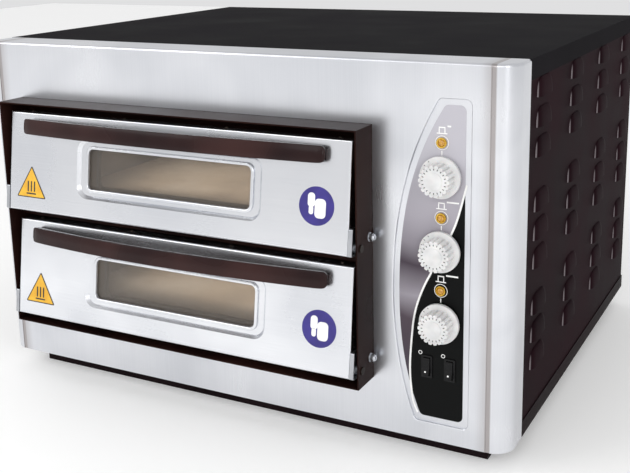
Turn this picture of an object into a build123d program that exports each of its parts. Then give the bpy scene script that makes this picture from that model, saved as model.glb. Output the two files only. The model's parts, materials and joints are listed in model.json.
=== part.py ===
"""Countertop twin-deck electric pizza oven.

Frame of the model: millimetres, +Z up, +X to the oven's right as seen by a person who
stands in front of it and looks along +Y.  While the parts are built, y = 0 is the front
sheet's outer face and z = 0 is the surface that the oven stands on.  When they are
written, everything is moved along Y so that the origin is the centre of the footprint.
"""
from build123d import *
import os

os.makedirs("parts", exist_ok=True)

# ---------------------------------------------------------------- driving dimensions
BODY_W = 900.0            # outside width over the casing
BODY_D = 744.0            # outside depth, front sheet to rear flange
BODY_H = 536.0            # height of the casing without its plinth
PLINTH_H = 34.0           # height of the plinth
PLINTH_INSET = 42.0       # how far the plinth stands back from the casing
SHEET = 1.5               # casing sheet thickness
FIT_GAP = 0.3             # gap round a part that drops into a cut-out

FASCIA_D = 62.0           # depth of the front sheet's top and side returns
FASCIA_BEND_R = 30.0      # bend at the two front corners
FASCIA_TOP_R = 4.0        # bend along the top front edge
GROOVE_X = 420.0          # crease where the front meets its corner bends
GROOVE_W = 5.5
GROOVE_DEEP = 0.7

COVER_LIP_H = 28.0        # side lip of the top cover
PAN_LIP_H = 23.0          # side lip of the base pan

FRAME_X0, FRAME_X1 = -379.0, 250.0      # door surround, outside
FRAME_Z0, FRAME_Z1 = 79.0, 447.0        # above the casing's lower edge
FRAME_PROUD = 50.0        # how far the surround stands out of the front sheet
FRAME_BACK = 15.0         # how far it reaches behind the front sheet's face
FRAME_T = 2.0
RAIL_Z0, RAIL_Z1 = 256.0, 268.0         # rail between the two doors
RAIL_PROUD = 20.0

DOOR_W = 608.0
DOOR_H = 158.0            # along the leaning door
DOOR_T = 32.0
DOOR_LEAN = 8.3           # degrees, top leans back
DOOR_X = (FRAME_X0 + FRAME_X1) / 2
DOOR_FOOT_Y = -59.0       # lower front edge of a door
DOOR_FOOT_Z = {"lower": 97.0, "upper": 275.0}
DOOR_PITCH = DOOR_FOOT_Z["upper"] - DOOR_FOOT_Z["lower"]
DOOR_SHEET = 1.2
DOOR_EDGE_R = 3.0
PIVOT_BACK, PIVOT_UP = 20.0, 10.0       # hinge axis, from the door's lower front edge
PIN_R = 4.0
PIN_RUN = 0.08            # radial running clearance of a hinge pin

WINDOW_W, WINDOW_H = 292.0, 62.0        # clear glass
WINDOW_MID = 77.5         # height of the window's middle above the door's lower edge
SURROUND_W, SURROUND_H = 332.0, 93.0    # pressed surround of the window
SURROUND_DEEP = 5.0
GLASS_T = 4.0

HANDLE_W = 534.0
HANDLE_H = 24.0
HANDLE_T = 9.0
HANDLE_BOW = 27.0         # how far the middle stands out further than the ends
HANDLE_MID = 136.0
HANDLE_END = 4.0          # back of a handle end above the door face

CHAMBER_W = 520.0
CHAMBER_D = 560.0
MOUTH_Z0, MOUTH_Z1 = 113.0, 227.0       # mouth of the lower chamber
CHAMBER_FLOOR, CHAMBER_ROOF = 80.0, 230.0
STONE_T = 15.0
HEATER_R = 3.5

CONTROL_X = 350.0         # line of knobs and lamps
LAMP_Z_TOP = 429.0
CONTROL_PITCH = 102.6
KNOB_DROP = 46.0          # knob below its lamp
KNOB_NAMES = ("top", "middle", "bottom")
SKIRT_R = 28.5
GRIP_R = 23.0
GRIP_LOBES = 16
KNOB_LONG = 27.5
LAMP_R = 7.2
LENS_PROUD = 4.5          # lamp lens above the film
SWITCH_X = {"left": 330.5, "right": 364.0}
SWITCH_Z = 110.0
ROCKER_TILT = 10.0        # degrees each way from level

FILM_T = 0.4
CONTROL_DEEP = 3.0        # depth of the pressed control field
CONTROL_LIP_R = 2.2       # rounding where the field meets the front sheet
FILM_MARGIN = 8.0         # sheet left round the film inside the field

LOUVRE_L, LOUVRE_H, LOUVRE_OUT = 68.0, 27.0, 6.0
LOUVRE_Y0, LOUVRE_PITCH_Y, LOUVRE_COLUMNS = 97.0, 181.0, 4
LOUVRE_GROUPS = (88.0, 238.5, 398.0)    # lower edge of each group's lowest louvre
LOUVRE_PITCH_Z = 41.3

GLAND_X, GLAND_Z, GLAND_R = 340.0, 70.0, 10.0    # cable gland in the rear sheet
REAR_SLOT_W, REAR_SLOT_H = 60.0, 5.0
REAR_SLOT_PITCH_X, REAR_SLOT_PITCH_Z = 110.0, 15.0
REAR_BANKS = (150.0, 400.0)              # lowest slot of each bank

SHAFT_R = 3.0
THERMOSTAT_W, THERMOSTAT_H, THERMOSTAT_LONG = 44.0, 36.0, 36.5
BRACKET_W, BRACKET_H = 52.0, 24.0
ROCKER_PIVOT_Y = CONTROL_DEEP + 1.5
CONTROL_RIGHT, CONTROL_LOW, CONTROL_HIGH = 391.0, 27.0, 488.0
CONTROL_SWEEP = ((347.0, CONTROL_HIGH), (297.0, 364.0), (281.0, 229.0), (293.0, 97.0),
                 (313.0, CONTROL_LOW))   # left edge of the control field
CONTROL_CORNER_R = 8.0

PLATE_T = 2.0             # hinge plate on the inside of the surround
STOP_Y, STOP_UP, STOP_R = -11.4, 9.7, 3.0        # stop bolt, from the hinge axis upwards
STOP_TAB_Y = -26.9        # front of the tab that stops an opened door
GASKET_T = 4.0
GLASS_FRONT = SURROUND_DEEP + DOOR_SHEET + 0.1
FOOT_IN = 10.0            # handle foot, from the handle's end
SCREW_PITCH = 184.0       # screws along a door's top edge

LAMP_HOLE_Y, LAMP_HOLE_Z = 330.0, 175.0
HEATER_OUT, HEATER_IN = 195.0, 65.0      # legs of a heater from the chamber's middle
HEATER_OFF = 9.0          # heater from the chamber's floor or roof
HEATER_BEND_R = 45.0
BLANKET_T, BLANKET_CLEAR = 35.0, 2.0     # mineral wool and the air round the chambers

HALF_W = BODY_W / 2
Z_BODY = PLINTH_H


# ---------------------------------------------------------------- small helpers
def block(x0, x1, y0, y1, z0, z1):
    """A box between two corners, its heights counted from the casing's lower edge."""
    size = (x1 - x0, y1 - y0, z1 - z0)
    at = Pos((x0 + x1) / 2, (y0 + y1) / 2, (z0 + z1) / 2 + Z_BODY)
    return at * Box(*size)


def rod_y(x, z, radius, y0, y1):
    """A round bar along Y at a height counted from the casing's lower edge."""
    at = Pos(x, (y0 + y1) / 2, z + Z_BODY) * Rot(90, 0, 0)
    return at * Cylinder(radius, y1 - y0)


def rod_x(y, z, radius, x0, x1):
    """A round bar along X at a height counted from the casing's lower edge."""
    at = Pos((x0 + x1) / 2, y, z + Z_BODY) * Rot(0, 90, 0)
    return at * Cylinder(radius, x1 - x0)


def slab(width, height, radius, y0, y1, mid_z=0.0, taper=0.0):
    """A plate with rounded corners in the XZ plane, from y0 back to y1."""
    sketch = Plane.XZ * Pos(0, mid_z) * RectangleRounded(width, height, radius)
    plate = extrude(sketch, amount=-(y1 - y0), taper=taper)
    return Pos(0, y0, 0) * plate


def on_door(deck, shape):
    """Puts a shape drawn on an upright door into the door's leaning place."""
    foot = Pos(DOOR_X, DOOR_FOOT_Y, DOOR_FOOT_Z[deck] + Z_BODY)
    return foot * Rot(-DOOR_LEAN, 0, 0) * shape


def pivot_point(deck):
    """The hinge axis of a door as y and z."""
    spot = on_door(deck, Pos(0, PIVOT_BACK, PIVOT_UP) * Box(1, 1, 1)).center()
    return spot.Y, spot.Z - Z_BODY


def deck_lift(deck):
    return DOOR_PITCH if deck == "upper" else 0.0


def lamp_height(index):
    return LAMP_Z_TOP - CONTROL_PITCH * index


def knob_height(index):
    return lamp_height(index) - KNOB_DROP


# ---------------------------------------------------------------- casing
def base_plinth():
    """A ring of folded channel, flanges turned in at the top and the bottom."""
    flange, wall = 22.0, 2.0
    x, y0, y1 = HALF_W - PLINTH_INSET, PLINTH_INSET, BODY_D - PLINTH_INSET
    ring = block(-x, x, y0, y1, -PLINTH_H, 0)
    ring -= block(-x + wall, x - wall, y0 + wall, y1 - wall, -PLINTH_H + wall, -wall)
    ring -= block(-x + flange, x - flange, y0 + flange, y1 - flange, -PLINTH_H, 0)
    return ring


def base_pan():
    tray = block(-HALF_W, HALF_W, FASCIA_D, BODY_D, 0, PAN_LIP_H)
    tray -= block(-HALF_W + SHEET, HALF_W - SHEET, FASCIA_D + SHEET, BODY_D - SHEET, SHEET, PAN_LIP_H)
    for x in (-300.0, 0.0, 300.0):
        for y in (200.0, 400.0, 600.0):
            tray -= Pos(x, y, Z_BODY) * Cylinder(9, 4 * SHEET)
    return tray


def top_cover():
    """A lid with a lip on both sides and at the back."""
    lid = block(-HALF_W, HALF_W, FASCIA_D, BODY_D, BODY_H - COVER_LIP_H, BODY_H)
    lid -= block(-HALF_W + SHEET, HALF_W - SHEET, FASCIA_D, BODY_D - SHEET,
                 BODY_H - COVER_LIP_H, BODY_H - SHEET)
    return lid


def louvre_shell(grow):
    """A wedge that is flush at its top and stands out at its lower edge."""
    height, out, half = LOUVRE_H + grow, LOUVRE_OUT + grow, LOUVRE_L / 2 + grow
    wedge = Plane.XZ * make_face(Polyline((0, 0), (out, 0), (out * 0.9, height * 0.35),
                                          (out * 0.45, height * 0.8), (0, height), close=True))
    return Pos(0, half, 0) * extrude(wedge, amount=2 * half)


def side_panel(side):
    """A side sheet with flanges at its ends and pressed scoops that open downwards."""
    x_out = HALF_W - SHEET
    y0, y1, z0, z1 = FASCIA_D + SHEET, BODY_D - 2 * SHEET, SHEET, BODY_H - SHEET
    flange = 20.0
    panel = block(x_out - flange, x_out, y0, y1, z0, z1)
    panel -= block(x_out - flange, x_out - SHEET, y0 + SHEET, y1 - SHEET, z0, z1)
    skin = louvre_shell(0)
    hollow = Pos(-SHEET, 0, 0) * louvre_shell(-SHEET / 2)
    slot = Pos(-SHEET, 0, LOUVRE_H / 3) * Box(2.2 * SHEET, LOUVRE_L - 4 * SHEET, LOUVRE_H / 2)
    for column in range(LOUVRE_COLUMNS):
        y = LOUVRE_Y0 + LOUVRE_PITCH_Y * column + LOUVRE_L / 2
        for group in LOUVRE_GROUPS:
            for row in range(3):
                spot = Pos(x_out, y, group + LOUVRE_PITCH_Z * row + Z_BODY)
                panel += spot * (skin - hollow)
                panel -= spot * slot
    return panel if side == "right" else mirror(panel, about=Plane.YZ)


def rear_panel():
    """The rear sheet with two banks of slots and the hole for the supply cable."""
    y0, y1 = BODY_D - 2 * SHEET, BODY_D - SHEET
    x = HALF_W - SHEET
    panel = block(-x, x, y0, y1, SHEET, BODY_H - SHEET)
    for bank_z in REAR_BANKS:
        for row in range(5):
            for column in range(6):
                sx = (column - 2.5) * REAR_SLOT_PITCH_X
                sz = bank_z + row * REAR_SLOT_PITCH_Z
                panel -= block(sx - REAR_SLOT_W / 2, sx + REAR_SLOT_W / 2, y0 - 1, y1 + 1,
                               sz, sz + REAR_SLOT_H)
    panel -= rod_y(GLAND_X, GLAND_Z, GLAND_R, y0 - 1, y1 + 1)
    return panel


def cable_gland():
    """A screwed gland with its hexagon nut; the supply cable itself is left out."""
    y_in, y_out = BODY_D - 2 * SHEET, BODY_D - SHEET
    hexagon = Plane.XZ * RegularPolygon(14, 6)
    nut = Pos(GLAND_X, y_out, GLAND_Z + Z_BODY) * extrude(hexagon, amount=-6)
    body = rod_y(GLAND_X, GLAND_Z, GLAND_R - 0.1, y_in - 8, y_out)
    dome = rod_y(GLAND_X, GLAND_Z, GLAND_R + 1, y_out + 6, y_out + 16)
    lock = Pos(GLAND_X, y_in - 5, GLAND_Z + Z_BODY) * extrude(hexagon, amount=-5)
    return nut + body + dome + lock - rod_y(GLAND_X, GLAND_Z, 6, y_in - 9, y_out + 17)


# ---------------------------------------------------------------- front sheet
def control_outline(inset):
    """The sail-shaped control field in the XZ plane, drawn in by an even margin."""
    right, low, high = CONTROL_RIGHT - inset, CONTROL_LOW + inset, CONTROL_HIGH - inset
    sweep = [(x + inset, z) for x, z in CONTROL_SWEEP]
    sweep[0], sweep[-1] = (sweep[0][0], high), (sweep[-1][0], low)
    rim = Polyline(sweep[-1], (right, low), (right, high), sweep[0])
    face = make_face(Spline(*sweep).edges() + rim.edges())
    return fillet(face.vertices(), CONTROL_CORNER_R)


def control_solid(inset, y0, y1):
    """The field's outline, drawn in by a margin, from y0 back to y1."""
    return Pos(0, y0, Z_BODY) * extrude(Plane.XZ * control_outline(inset), amount=-(y1 - y0))


def front_fascia():
    """The stainless front: one sheet with rounded corners, a top flange and side returns."""
    def shell(inset, z0, z1):
        half, deep = HALF_W - inset, FASCIA_D
        radius = FASCIA_BEND_R - inset
        body = block(-half, half, inset, deep, z0, z1)
        corners = body.edges().filter_by(Axis.Z).group_by(Axis.Y)[0]
        return fillet(corners, radius)

    sheet = shell(0, 0, BODY_H)
    front_top = [e for e in sheet.edges().group_by(Axis.Z)[-1] if e.center().Y < FASCIA_D - 1]
    sheet = fillet(front_top, FASCIA_TOP_R)
    sheet -= shell(SHEET, SHEET, BODY_H - SHEET)
    sheet += control_solid(-SHEET, SHEET, CONTROL_DEEP + SHEET)
    sheet -= control_solid(0, -1, CONTROL_DEEP)
    lip = [e for e in sheet.edges() if abs(e.center().Y) < 0.01 and 275 < e.center().X < 395]
    sheet = fillet(lip, CONTROL_LIP_R)
    for x in (-GROOVE_X, GROOVE_X):
        sheet -= block(x - GROOVE_W / 2, x + GROOVE_W / 2, -1, GROOVE_DEEP, -1, BODY_H - FASCIA_TOP_R)
    gap = FIT_GAP
    sheet -= block(FRAME_X0 - gap, FRAME_X1 + gap, -1, 3, FRAME_Z0 - gap, FRAME_Z1 + gap)
    sheet -= control_holes(0.4)
    return sheet


def control_holes(extra):
    """Everything that passes through the film and the front sheet."""
    tools = []
    for index in range(len(KNOB_NAMES)):
        tools.append(rod_y(CONTROL_X, knob_height(index), 5.5 + extra, -1, 6))
        tools.append(rod_y(CONTROL_X, lamp_height(index), 5.2 + extra, -1, 6))
    for x in SWITCH_X.values():
        half_w, half_h = 6.3 + FIT_GAP + extra, 14.8 + FIT_GAP + extra
        tools.append(block(x - half_w, x + half_w, -1, 6, SWITCH_Z - half_h, SWITCH_Z + half_h))
    return tools


def control_film():
    """The printed film that lies in the pressed control field."""
    film = control_solid(FILM_MARGIN, CONTROL_DEEP - FILM_T, CONTROL_DEEP)
    return film - control_holes(0)


# ---------------------------------------------------------------- controls
def thermostat(index):
    """Capillary thermostat: square body, screwed bracket and shaft bush."""
    z = knob_height(index)
    y0 = CONTROL_DEEP + SHEET
    half_w, half_h = THERMOSTAT_W / 2, THERMOSTAT_H / 2
    body = block(CONTROL_X - half_w, CONTROL_X + half_w, y0 + SHEET, y0 + SHEET + THERMOSTAT_LONG,
                 z - half_h, z + half_h)
    bracket = block(CONTROL_X - BRACKET_W / 2, CONTROL_X + BRACKET_W / 2, y0, y0 + SHEET,
                    z - BRACKET_H / 2, z + BRACKET_H / 2)
    return body + bracket - rod_y(CONTROL_X, z, SHAFT_R + PIN_RUN, y0 - 1, y0 + 14)


def shaft(index):
    z = knob_height(index)
    bar = rod_y(CONTROL_X, z, SHAFT_R, -20, CONTROL_DEEP + SHEET + 12)
    return bar - block(CONTROL_X - 4, CONTROL_X + 4, -21, -6, z + 1.8, z + 4)


def knob(index):
    """A skirted knob with a lobed grip, its front slightly dished, on a flatted shaft."""
    z = knob_height(index)
    grip_back = -3.5
    skirt = rod_y(CONTROL_X, z, SKIRT_R, grip_back, -0.4)
    skirt = fillet(skirt.edges().group_by(Axis.Y)[0], 1.2)
    grip = rod_y(CONTROL_X, z, GRIP_R, -KNOB_LONG, grip_back)
    scallop_r, scallop_at = 3.4, GRIP_R + 1.6
    for lobe in range(GRIP_LOBES):
        turn = Rot(0, 360 / GRIP_LOBES * (lobe + 0.5), 0) * Pos(0, 0, scallop_at)
        cutter = turn * Rot(90, 0, 0) * Cylinder(scallop_r, 40)
        grip -= Pos(CONTROL_X, grip_back - 20 - 2, z + Z_BODY) * cutter
    body = skirt + grip
    body -= rod_y(CONTROL_X, z, GRIP_R - 4.5, -KNOB_LONG - 1, -KNOB_LONG + 0.8)
    bore = rod_y(CONTROL_X, z, SHAFT_R + 0.02, -20.02, 1)
    bore -= block(CONTROL_X - 4, CONTROL_X + 4, -21, -6, z + 1.82, z + 4)
    return body - bore


def indicator_lamps():
    """Three snap-in indicator lamps, lens and body moulded in one."""
    lamps = []
    y_film = CONTROL_DEEP - FILM_T
    for index in range(len(KNOB_NAMES)):
        z = lamp_height(index)
        lens = rod_y(CONTROL_X, z, LAMP_R, y_film - LENS_PROUD, y_film)
        lens = fillet(lens.edges().group_by(Axis.Y)[0], 2.6)
        lamps.append(lens + rod_y(CONTROL_X, z, 5.0, y_film, 28))
    return Compound(children=lamps)


def switch_housings():
    """Two snap-in switch bodies with bezels, open at the front for their rockers."""
    housings = []
    y_film = CONTROL_DEEP - FILM_T
    for x in SWITCH_X.values():
        bezel = block(x - 8, x + 8, y_film - 1.7, y_film, SWITCH_Z - 16.5, SWITCH_Z + 16.5)
        bezel = fillet(bezel.edges().filter_by(Axis.Y), 1.5)
        body = block(x - 6.3, x + 6.3, y_film, 26, SWITCH_Z - 14.8, SWITCH_Z + 14.8)
        well = block(x - 5.2, x + 5.2, -2, ROCKER_PIVOT_Y + 9, SWITCH_Z - 13.7, SWITCH_Z + 13.7)
        pivot = rod_x(ROCKER_PIVOT_Y, SWITCH_Z, 1.0 + PIN_RUN, x - 5.9, x + 5.9)
        tabs = [block(x - 3, x + 3, 26, 34, SWITCH_Z + s * 9 - 0.4, SWITCH_Z + s * 9 + 0.4)
                for s in (-1, 0, 1)]
        housings.append(bezel + body - well - pivot + tabs)
    return Compound(children=housings)


def rocker(side):
    """A rocker cap with a shallow V front, tipped into its off position."""
    x = SWITCH_X[side]
    outline = Polyline((-7.5, -12), (-5.6, 0), (-7.5, 12), (-3.5, 12), (3, 4), (3, -4),
                       (-3.5, -12), close=True)
    cap = extrude(Plane.YZ * make_face(outline), amount=4.8, both=True)
    cap += Rot(0, 90, 0) * Cylinder(1.0, 11.4)
    return Pos(x, ROCKER_PIVOT_Y, SWITCH_Z + Z_BODY) * Rot(-ROCKER_TILT, 0, 0) * cap


# ---------------------------------------------------------------- door surround
def door_frame():
    """The black surround: a deep tube with a back plate and a rail between the doors."""
    t = FRAME_T
    tube = block(FRAME_X0, FRAME_X1, -FRAME_PROUD, FRAME_BACK, FRAME_Z0, FRAME_Z1)
    tube -= block(FRAME_X0 + t, FRAME_X1 - t, -FRAME_PROUD - 1, FRAME_BACK - t, FRAME_Z0 + t, FRAME_Z1 - t)
    rail = block(FRAME_X0 + t, FRAME_X1 - t, -RAIL_PROUD, FRAME_BACK - t, RAIL_Z0, RAIL_Z1)
    rail -= block(FRAME_X0, FRAME_X1, -RAIL_PROUD + t, FRAME_BACK, RAIL_Z0 + t, RAIL_Z1 - t)
    frame = tube + rail
    half = CHAMBER_W / 2
    for deck in DOOR_FOOT_Z:
        lift = deck_lift(deck)
        frame -= block(DOOR_X - half, DOOR_X + half, 10, 20, MOUTH_Z0 + lift, MOUTH_Z1 + lift)
        y, z = pivot_point(deck)
        frame -= rod_x(y, z, PIN_R + 0.1, FRAME_X0 - 1, FRAME_X1 + 1)
        frame -= rod_x(STOP_Y, z + STOP_UP, STOP_R + 0.1, FRAME_X0 - 1, FRAME_X1 + 1)
    return frame


def mouth_collar(deck):
    """A leaning seal face for the door's gasket, joined to a tunnel into the chamber."""
    lift = deck_lift(deck)
    half, wall, face_y = CHAMBER_W / 2, 2.0, DOOR_T + GASKET_T + FIT_GAP
    plate = on_door(deck, slab(584, 144, 6, face_y, face_y + wall, 80))
    tube = block(DOOR_X - half - wall, DOOR_X + half + wall, -40, FRAME_BACK - FRAME_T,
                 MOUTH_Z0 - wall + lift, MOUTH_Z1 + wall + lift)
    behind = on_door(deck, Pos(0, face_y + 60, 80) * Box(700, 120, 400))
    bore = block(DOOR_X - half, DOOR_X + half, -60, 20, MOUTH_Z0 + lift, MOUTH_Z1 + lift)
    return plate + (tube & behind) - bore


# ---------------------------------------------------------------- chambers
def chamber(deck):
    """A five-sided steel box with two stone ledges, a lamp hole and heater holes."""
    lift, t = deck_lift(deck), SHEET
    half = CHAMBER_W / 2
    y0, y1 = FRAME_BACK, FRAME_BACK + CHAMBER_D
    z0, z1 = CHAMBER_FLOOR + lift, CHAMBER_ROOF + lift
    box = block(DOOR_X - half - t, DOOR_X + half + t, y0, y1, z0, z1)
    box -= block(DOOR_X - half, DOOR_X + half, y0, y1 - t, z0 + t, z1 - t)
    ledge_w, ledge_z = 14.0, MOUTH_Z0 - STONE_T + lift
    for side in (-1, 1):
        edge = DOOR_X + side * half
        inner = edge - side * ledge_w
        box += block(min(edge, inner), max(edge, inner), y0 + 4, y1 - t, ledge_z - 2, ledge_z)
    box -= rod_x(LAMP_HOLE_Y, LAMP_HOLE_Z + lift, 20, DOOR_X + half - 2, DOOR_X + half + 4)
    for z in (heater_floor_z(lift), heater_roof_z(lift)):
        for side in (-1, 1):
            box -= rod_y(DOOR_X + side * HEATER_OUT, z, HEATER_R + FIT_GAP, y1 - 5, y1 + 5)
    return box


def heater_floor_z(lift):
    return CHAMBER_FLOOR + HEATER_OFF + lift


def heater_roof_z(lift):
    return CHAMBER_ROOF - HEATER_OFF + lift


def stone(deck):
    """The baking stone on its ledges."""
    lift = deck_lift(deck)
    slab_half = CHAMBER_W / 2 - 1.5
    body = block(DOOR_X - slab_half, DOOR_X + slab_half, FRAME_BACK + 5, FRAME_BACK + CHAMBER_D - 10,
                 MOUTH_Z0 - STONE_T + lift, MOUTH_Z0 + lift)
    return chamfer(body.edges().group_by(Axis.Z)[-1], 1.5)


def heater(z):
    """A tubular heater with four legs, both ends out through the chamber's rear wall."""
    rear, front, inner_rear = FRAME_BACK + CHAMBER_D + 22, 75.0, 520.0
    a, b = HEATER_OUT, HEATER_IN
    route = FilletPolyline((-a, rear), (-a, front), (-b, front), (-b, inner_rear), (b, inner_rear),
                           (b, front), (a, front), (a, rear), radius=HEATER_BEND_R)
    start = Plane(origin=(-a, rear, 0), z_dir=(0, -1, 0))
    tube = sweep(start * Circle(HEATER_R), path=route)
    return Pos(DOOR_X, 0, z + Z_BODY) * tube


def heater_bank(name):
    """The heaters that one thermostat switches."""
    if name == "top":
        return heater(heater_roof_z(DOOR_PITCH))
    if name == "bottom":
        return heater(heater_floor_z(0))
    return Compound(children=[heater(heater_floor_z(DOOR_PITCH)), heater(heater_roof_z(0))])


def insulation_blankets():
    """Mineral wool round the two chambers: roof, floor, two sides and the rear."""
    thick, clear = BLANKET_T, BLANKET_CLEAR
    half = CHAMBER_W / 2 + SHEET + clear
    y0, y1 = FRAME_BACK + 8, FRAME_BACK + CHAMBER_D
    z0, z1 = CHAMBER_FLOOR - clear, CHAMBER_ROOF + DOOR_PITCH + clear
    x0, x1 = DOOR_X - half, DOOR_X + half
    hole = rod_x(LAMP_HOLE_Y, LAMP_HOLE_Z, 24, x1 - 1, x1 + thick + 1)
    hole += rod_x(LAMP_HOLE_Y, LAMP_HOLE_Z + DOOR_PITCH, 24, x1 - 1, x1 + thick + 1)
    pads = [block(x0, x1, y0, y1, z1, z1 + thick),
            block(x0, x1, y0, y1, z0 - thick, z0),
            block(x0 - thick, x0, y0, y1, z0 - thick, z1 + thick),
            block(x1, x1 + thick, y0, y1, z0 - thick, z1 + thick) - hole,
            block(x0 - thick, x1 + thick, y1 + 30, y1 + 30 + thick, z0 - thick, z1 + thick)]
    return Compound(children=pads)


def oven_lamps(piece):
    """One lamp for each chamber in its right wall: glass domes or their holders."""
    wall = DOOR_X + CHAMBER_W / 2
    solids = []
    for deck in DOOR_FOOT_Z:
        z = LAMP_HOLE_Z + deck_lift(deck)
        if piece == "dome":
            dome = rod_x(LAMP_HOLE_Y, z, 19, wall - 11, wall + 5)
            dome = fillet(dome.edges().group_by(Axis.X)[0], 8)
            solids.append(dome - rod_x(LAMP_HOLE_Y, z, 15.5, wall - 8, wall + 6))
        else:
            cup = rod_x(LAMP_HOLE_Y, z, 22, wall + SHEET, wall + 48)
            solids.append(cup - rod_x(LAMP_HOLE_Y, z, 19.5, wall, wall + 46))
    return Compound(children=solids)


def terminal_block():
    """The terminal strip on the base pan, behind the controls."""
    strip = block(290, 390, 660, 684, SHEET, 26)
    for pole in range(5):
        x = 300 + pole * 20.0
        strip -= Pos(x, 666, Z_BODY + 26) * Cylinder(3.5, 16)
        strip -= Pos(x, 678, Z_BODY + 26) * Cylinder(3.5, 16)
    return strip


# ---------------------------------------------------------------- hinge hardware
def hinge_sides():
    """For both sides: which way is out, and the inner and outer face of the surround's wall."""
    return ((-1, FRAME_X0 + FRAME_T, FRAME_X0), (1, FRAME_X1 - FRAME_T, FRAME_X1))


def span(x0, x1):
    return min(x0, x1), max(x0, x1)


def hinge_plates():
    """Plates inside the surround's walls, each with a tab that the open door comes to rest on."""
    plates = []
    for deck in DOOR_FOOT_Z:
        y, z = pivot_point(deck)
        for out, inner, _ in hinge_sides():
            x0, x1 = span(inner, inner - out * PLATE_T)
            plate = block(x0, x1, y - 8, STOP_Y + 8, z - 8, z + STOP_UP + 8)
            plate -= rod_x(y, z, PIN_R + 0.1, x0 - 1, x1 + 1)
            plate -= rod_x(STOP_Y, z + STOP_UP, STOP_R + 0.1, x0 - 1, x1 + 1)
            leg = block(x0, x1, STOP_TAB_Y, STOP_TAB_Y + 3, z - 18.5, z - 8)
            tab0, tab1 = span(inner, inner - out * 6.8)
            tab = block(tab0, tab1, STOP_TAB_Y, STOP_TAB_Y + 3, z - 18.5, z - 13.5)
            plates.append(plate + leg + tab)
    return Compound(children=plates)


def hinge_pins():
    """Shouldered pins through the surround's walls into the door's cheeks."""
    pins = []
    for deck in DOOR_FOOT_Z:
        y, z = pivot_point(deck)
        for out, inner, outer in hinge_sides():
            x0, x1 = span(inner - out * 7.6, outer)
            pin = rod_x(y, z, PIN_R, x0, x1)
            h0, h1 = span(outer, outer + out * 1.6)
            pins.append(pin + rod_x(y, z, PIN_R + 1.6, h0, h1))
    return Compound(children=pins)


def stop_bolts():
    """Bolts that clamp the hinge plates, each with a washer and a domed nut outside."""
    bolts = []
    for deck in DOOR_FOOT_Z:
        z = pivot_point(deck)[1] + STOP_UP
        for out, inner, outer in hinge_sides():
            s0, s1 = span(inner - out * (PLATE_T + 2), outer + out * 3)
            bolt = rod_x(STOP_Y, z, STOP_R, s0, s1)
            w0, w1 = span(outer, outer + out * 1.2)
            bolt += rod_x(STOP_Y, z, 6.5, w0, w1)
            n0, n1 = span(outer + out * 1.2, outer + out * 6)
            hexagon = Plane.YZ * RegularPolygon(5.8, 6)
            bolt += Pos(n0, STOP_Y, z + Z_BODY) * extrude(hexagon, amount=n1 - n0)
            head0, head1 = span(inner - out * PLATE_T, inner - out * (PLATE_T + 2.4))
            bolt += rod_x(STOP_Y, z, 5.2, head0, head1)
            d0, d1 = span(outer + out * 6, outer + out * 9.6)
            dome = rod_x(STOP_Y, z, 4.8, d0, d1)
            tip = dome.edges().group_by(Axis.X)[-1 if out > 0 else 0]
            bolts.append(bolt + fillet(tip, 3.2))
    return Compound(children=bolts)


def casing_screws():
    """Pan-head screws that hold the rear panel to the cover and the pan."""
    screws = []
    for z in (PAN_LIP_H / 2, BODY_H - COVER_LIP_H / 2):
        for x in (-400.0, -133.0, 133.0, 400.0):
            head = rod_y(x, z, 4.2, BODY_D, BODY_D + 2.4)
            screws.append(fillet(head.edges().group_by(Axis.Y)[-1], 1.4))
    return Compound(children=screws)


# ---------------------------------------------------------------- doors
def door_skin():
    """The outer pan of a door with the pressed surround of its window."""
    depth = DOOR_T - 1.0
    inner_w, inner_h = DOOR_W - 2 * DOOR_SHEET, DOOR_H - 2 * DOOR_SHEET
    pan = Pos(0, depth / 2, DOOR_H / 2) * Box(DOOR_W, depth, DOOR_H)
    rim = pan.edges().group_by(Axis.Y)[0]
    pan = fillet(rim, DOOR_EDGE_R)
    pan -= Pos(0, depth / 2 + DOOR_SHEET, DOOR_H / 2) * Box(inner_w, depth, inner_h)
    t = DOOR_SHEET
    slope = 45.0
    press = slab(SURROUND_W, SURROUND_H, 20, 0, SURROUND_DEEP, WINDOW_MID, taper=slope)
    backing = slab(SURROUND_W + t, SURROUND_H + t, 20 + t / 2, t / 2, SURROUND_DEEP + t, WINDOW_MID,
                   taper=slope)
    hole = slab(WINDOW_W, WINDOW_H, 8, -1, SURROUND_DEEP + 3, WINDOW_MID)
    return pan + backing - press - hole


def door_inner_pan():
    """The inner tray with a window tunnel that reaches forward to the outer glass."""
    t = DOOR_SHEET
    w, h = DOOR_W - 2 * t - 2 * FIT_GAP, DOOR_H - 2 * t - 2 * FIT_GAP
    front = 18.0
    pan = Pos(0, (front + DOOR_T) / 2, DOOR_H / 2) * Box(w, DOOR_T - front, h)
    pan -= Pos(0, (front + DOOR_T) / 2 - t, DOOR_H / 2) * Box(w - 2 * t, DOOR_T - front, h - 2 * t)
    tunnel = slab(WINDOW_W + 10, WINDOW_H + 10, 10, GLASS_FRONT + GLASS_T, DOOR_T, WINDOW_MID)
    pan += tunnel - slab(WINDOW_W + 10 - 2 * t, WINDOW_H + 10 - 2 * t, 9, 0, DOOR_T - t, WINDOW_MID)
    return pan - slab(WINDOW_W - 4, WINDOW_H - 4, 8, 0, DOOR_T + 1, WINDOW_MID)


def door_glass():
    """Two panes: one behind the surround, one on the inner tray."""
    outer = slab(WINDOW_W + 14, WINDOW_H + 14, 6, GLASS_FRONT, GLASS_FRONT + GLASS_T, WINDOW_MID)
    back = DOOR_T - DOOR_SHEET
    inner = slab(WINDOW_W + 6, WINDOW_H + 6, 9, back - GLASS_T, back, WINDOW_MID)
    return Compound(children=[outer, inner])


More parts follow.
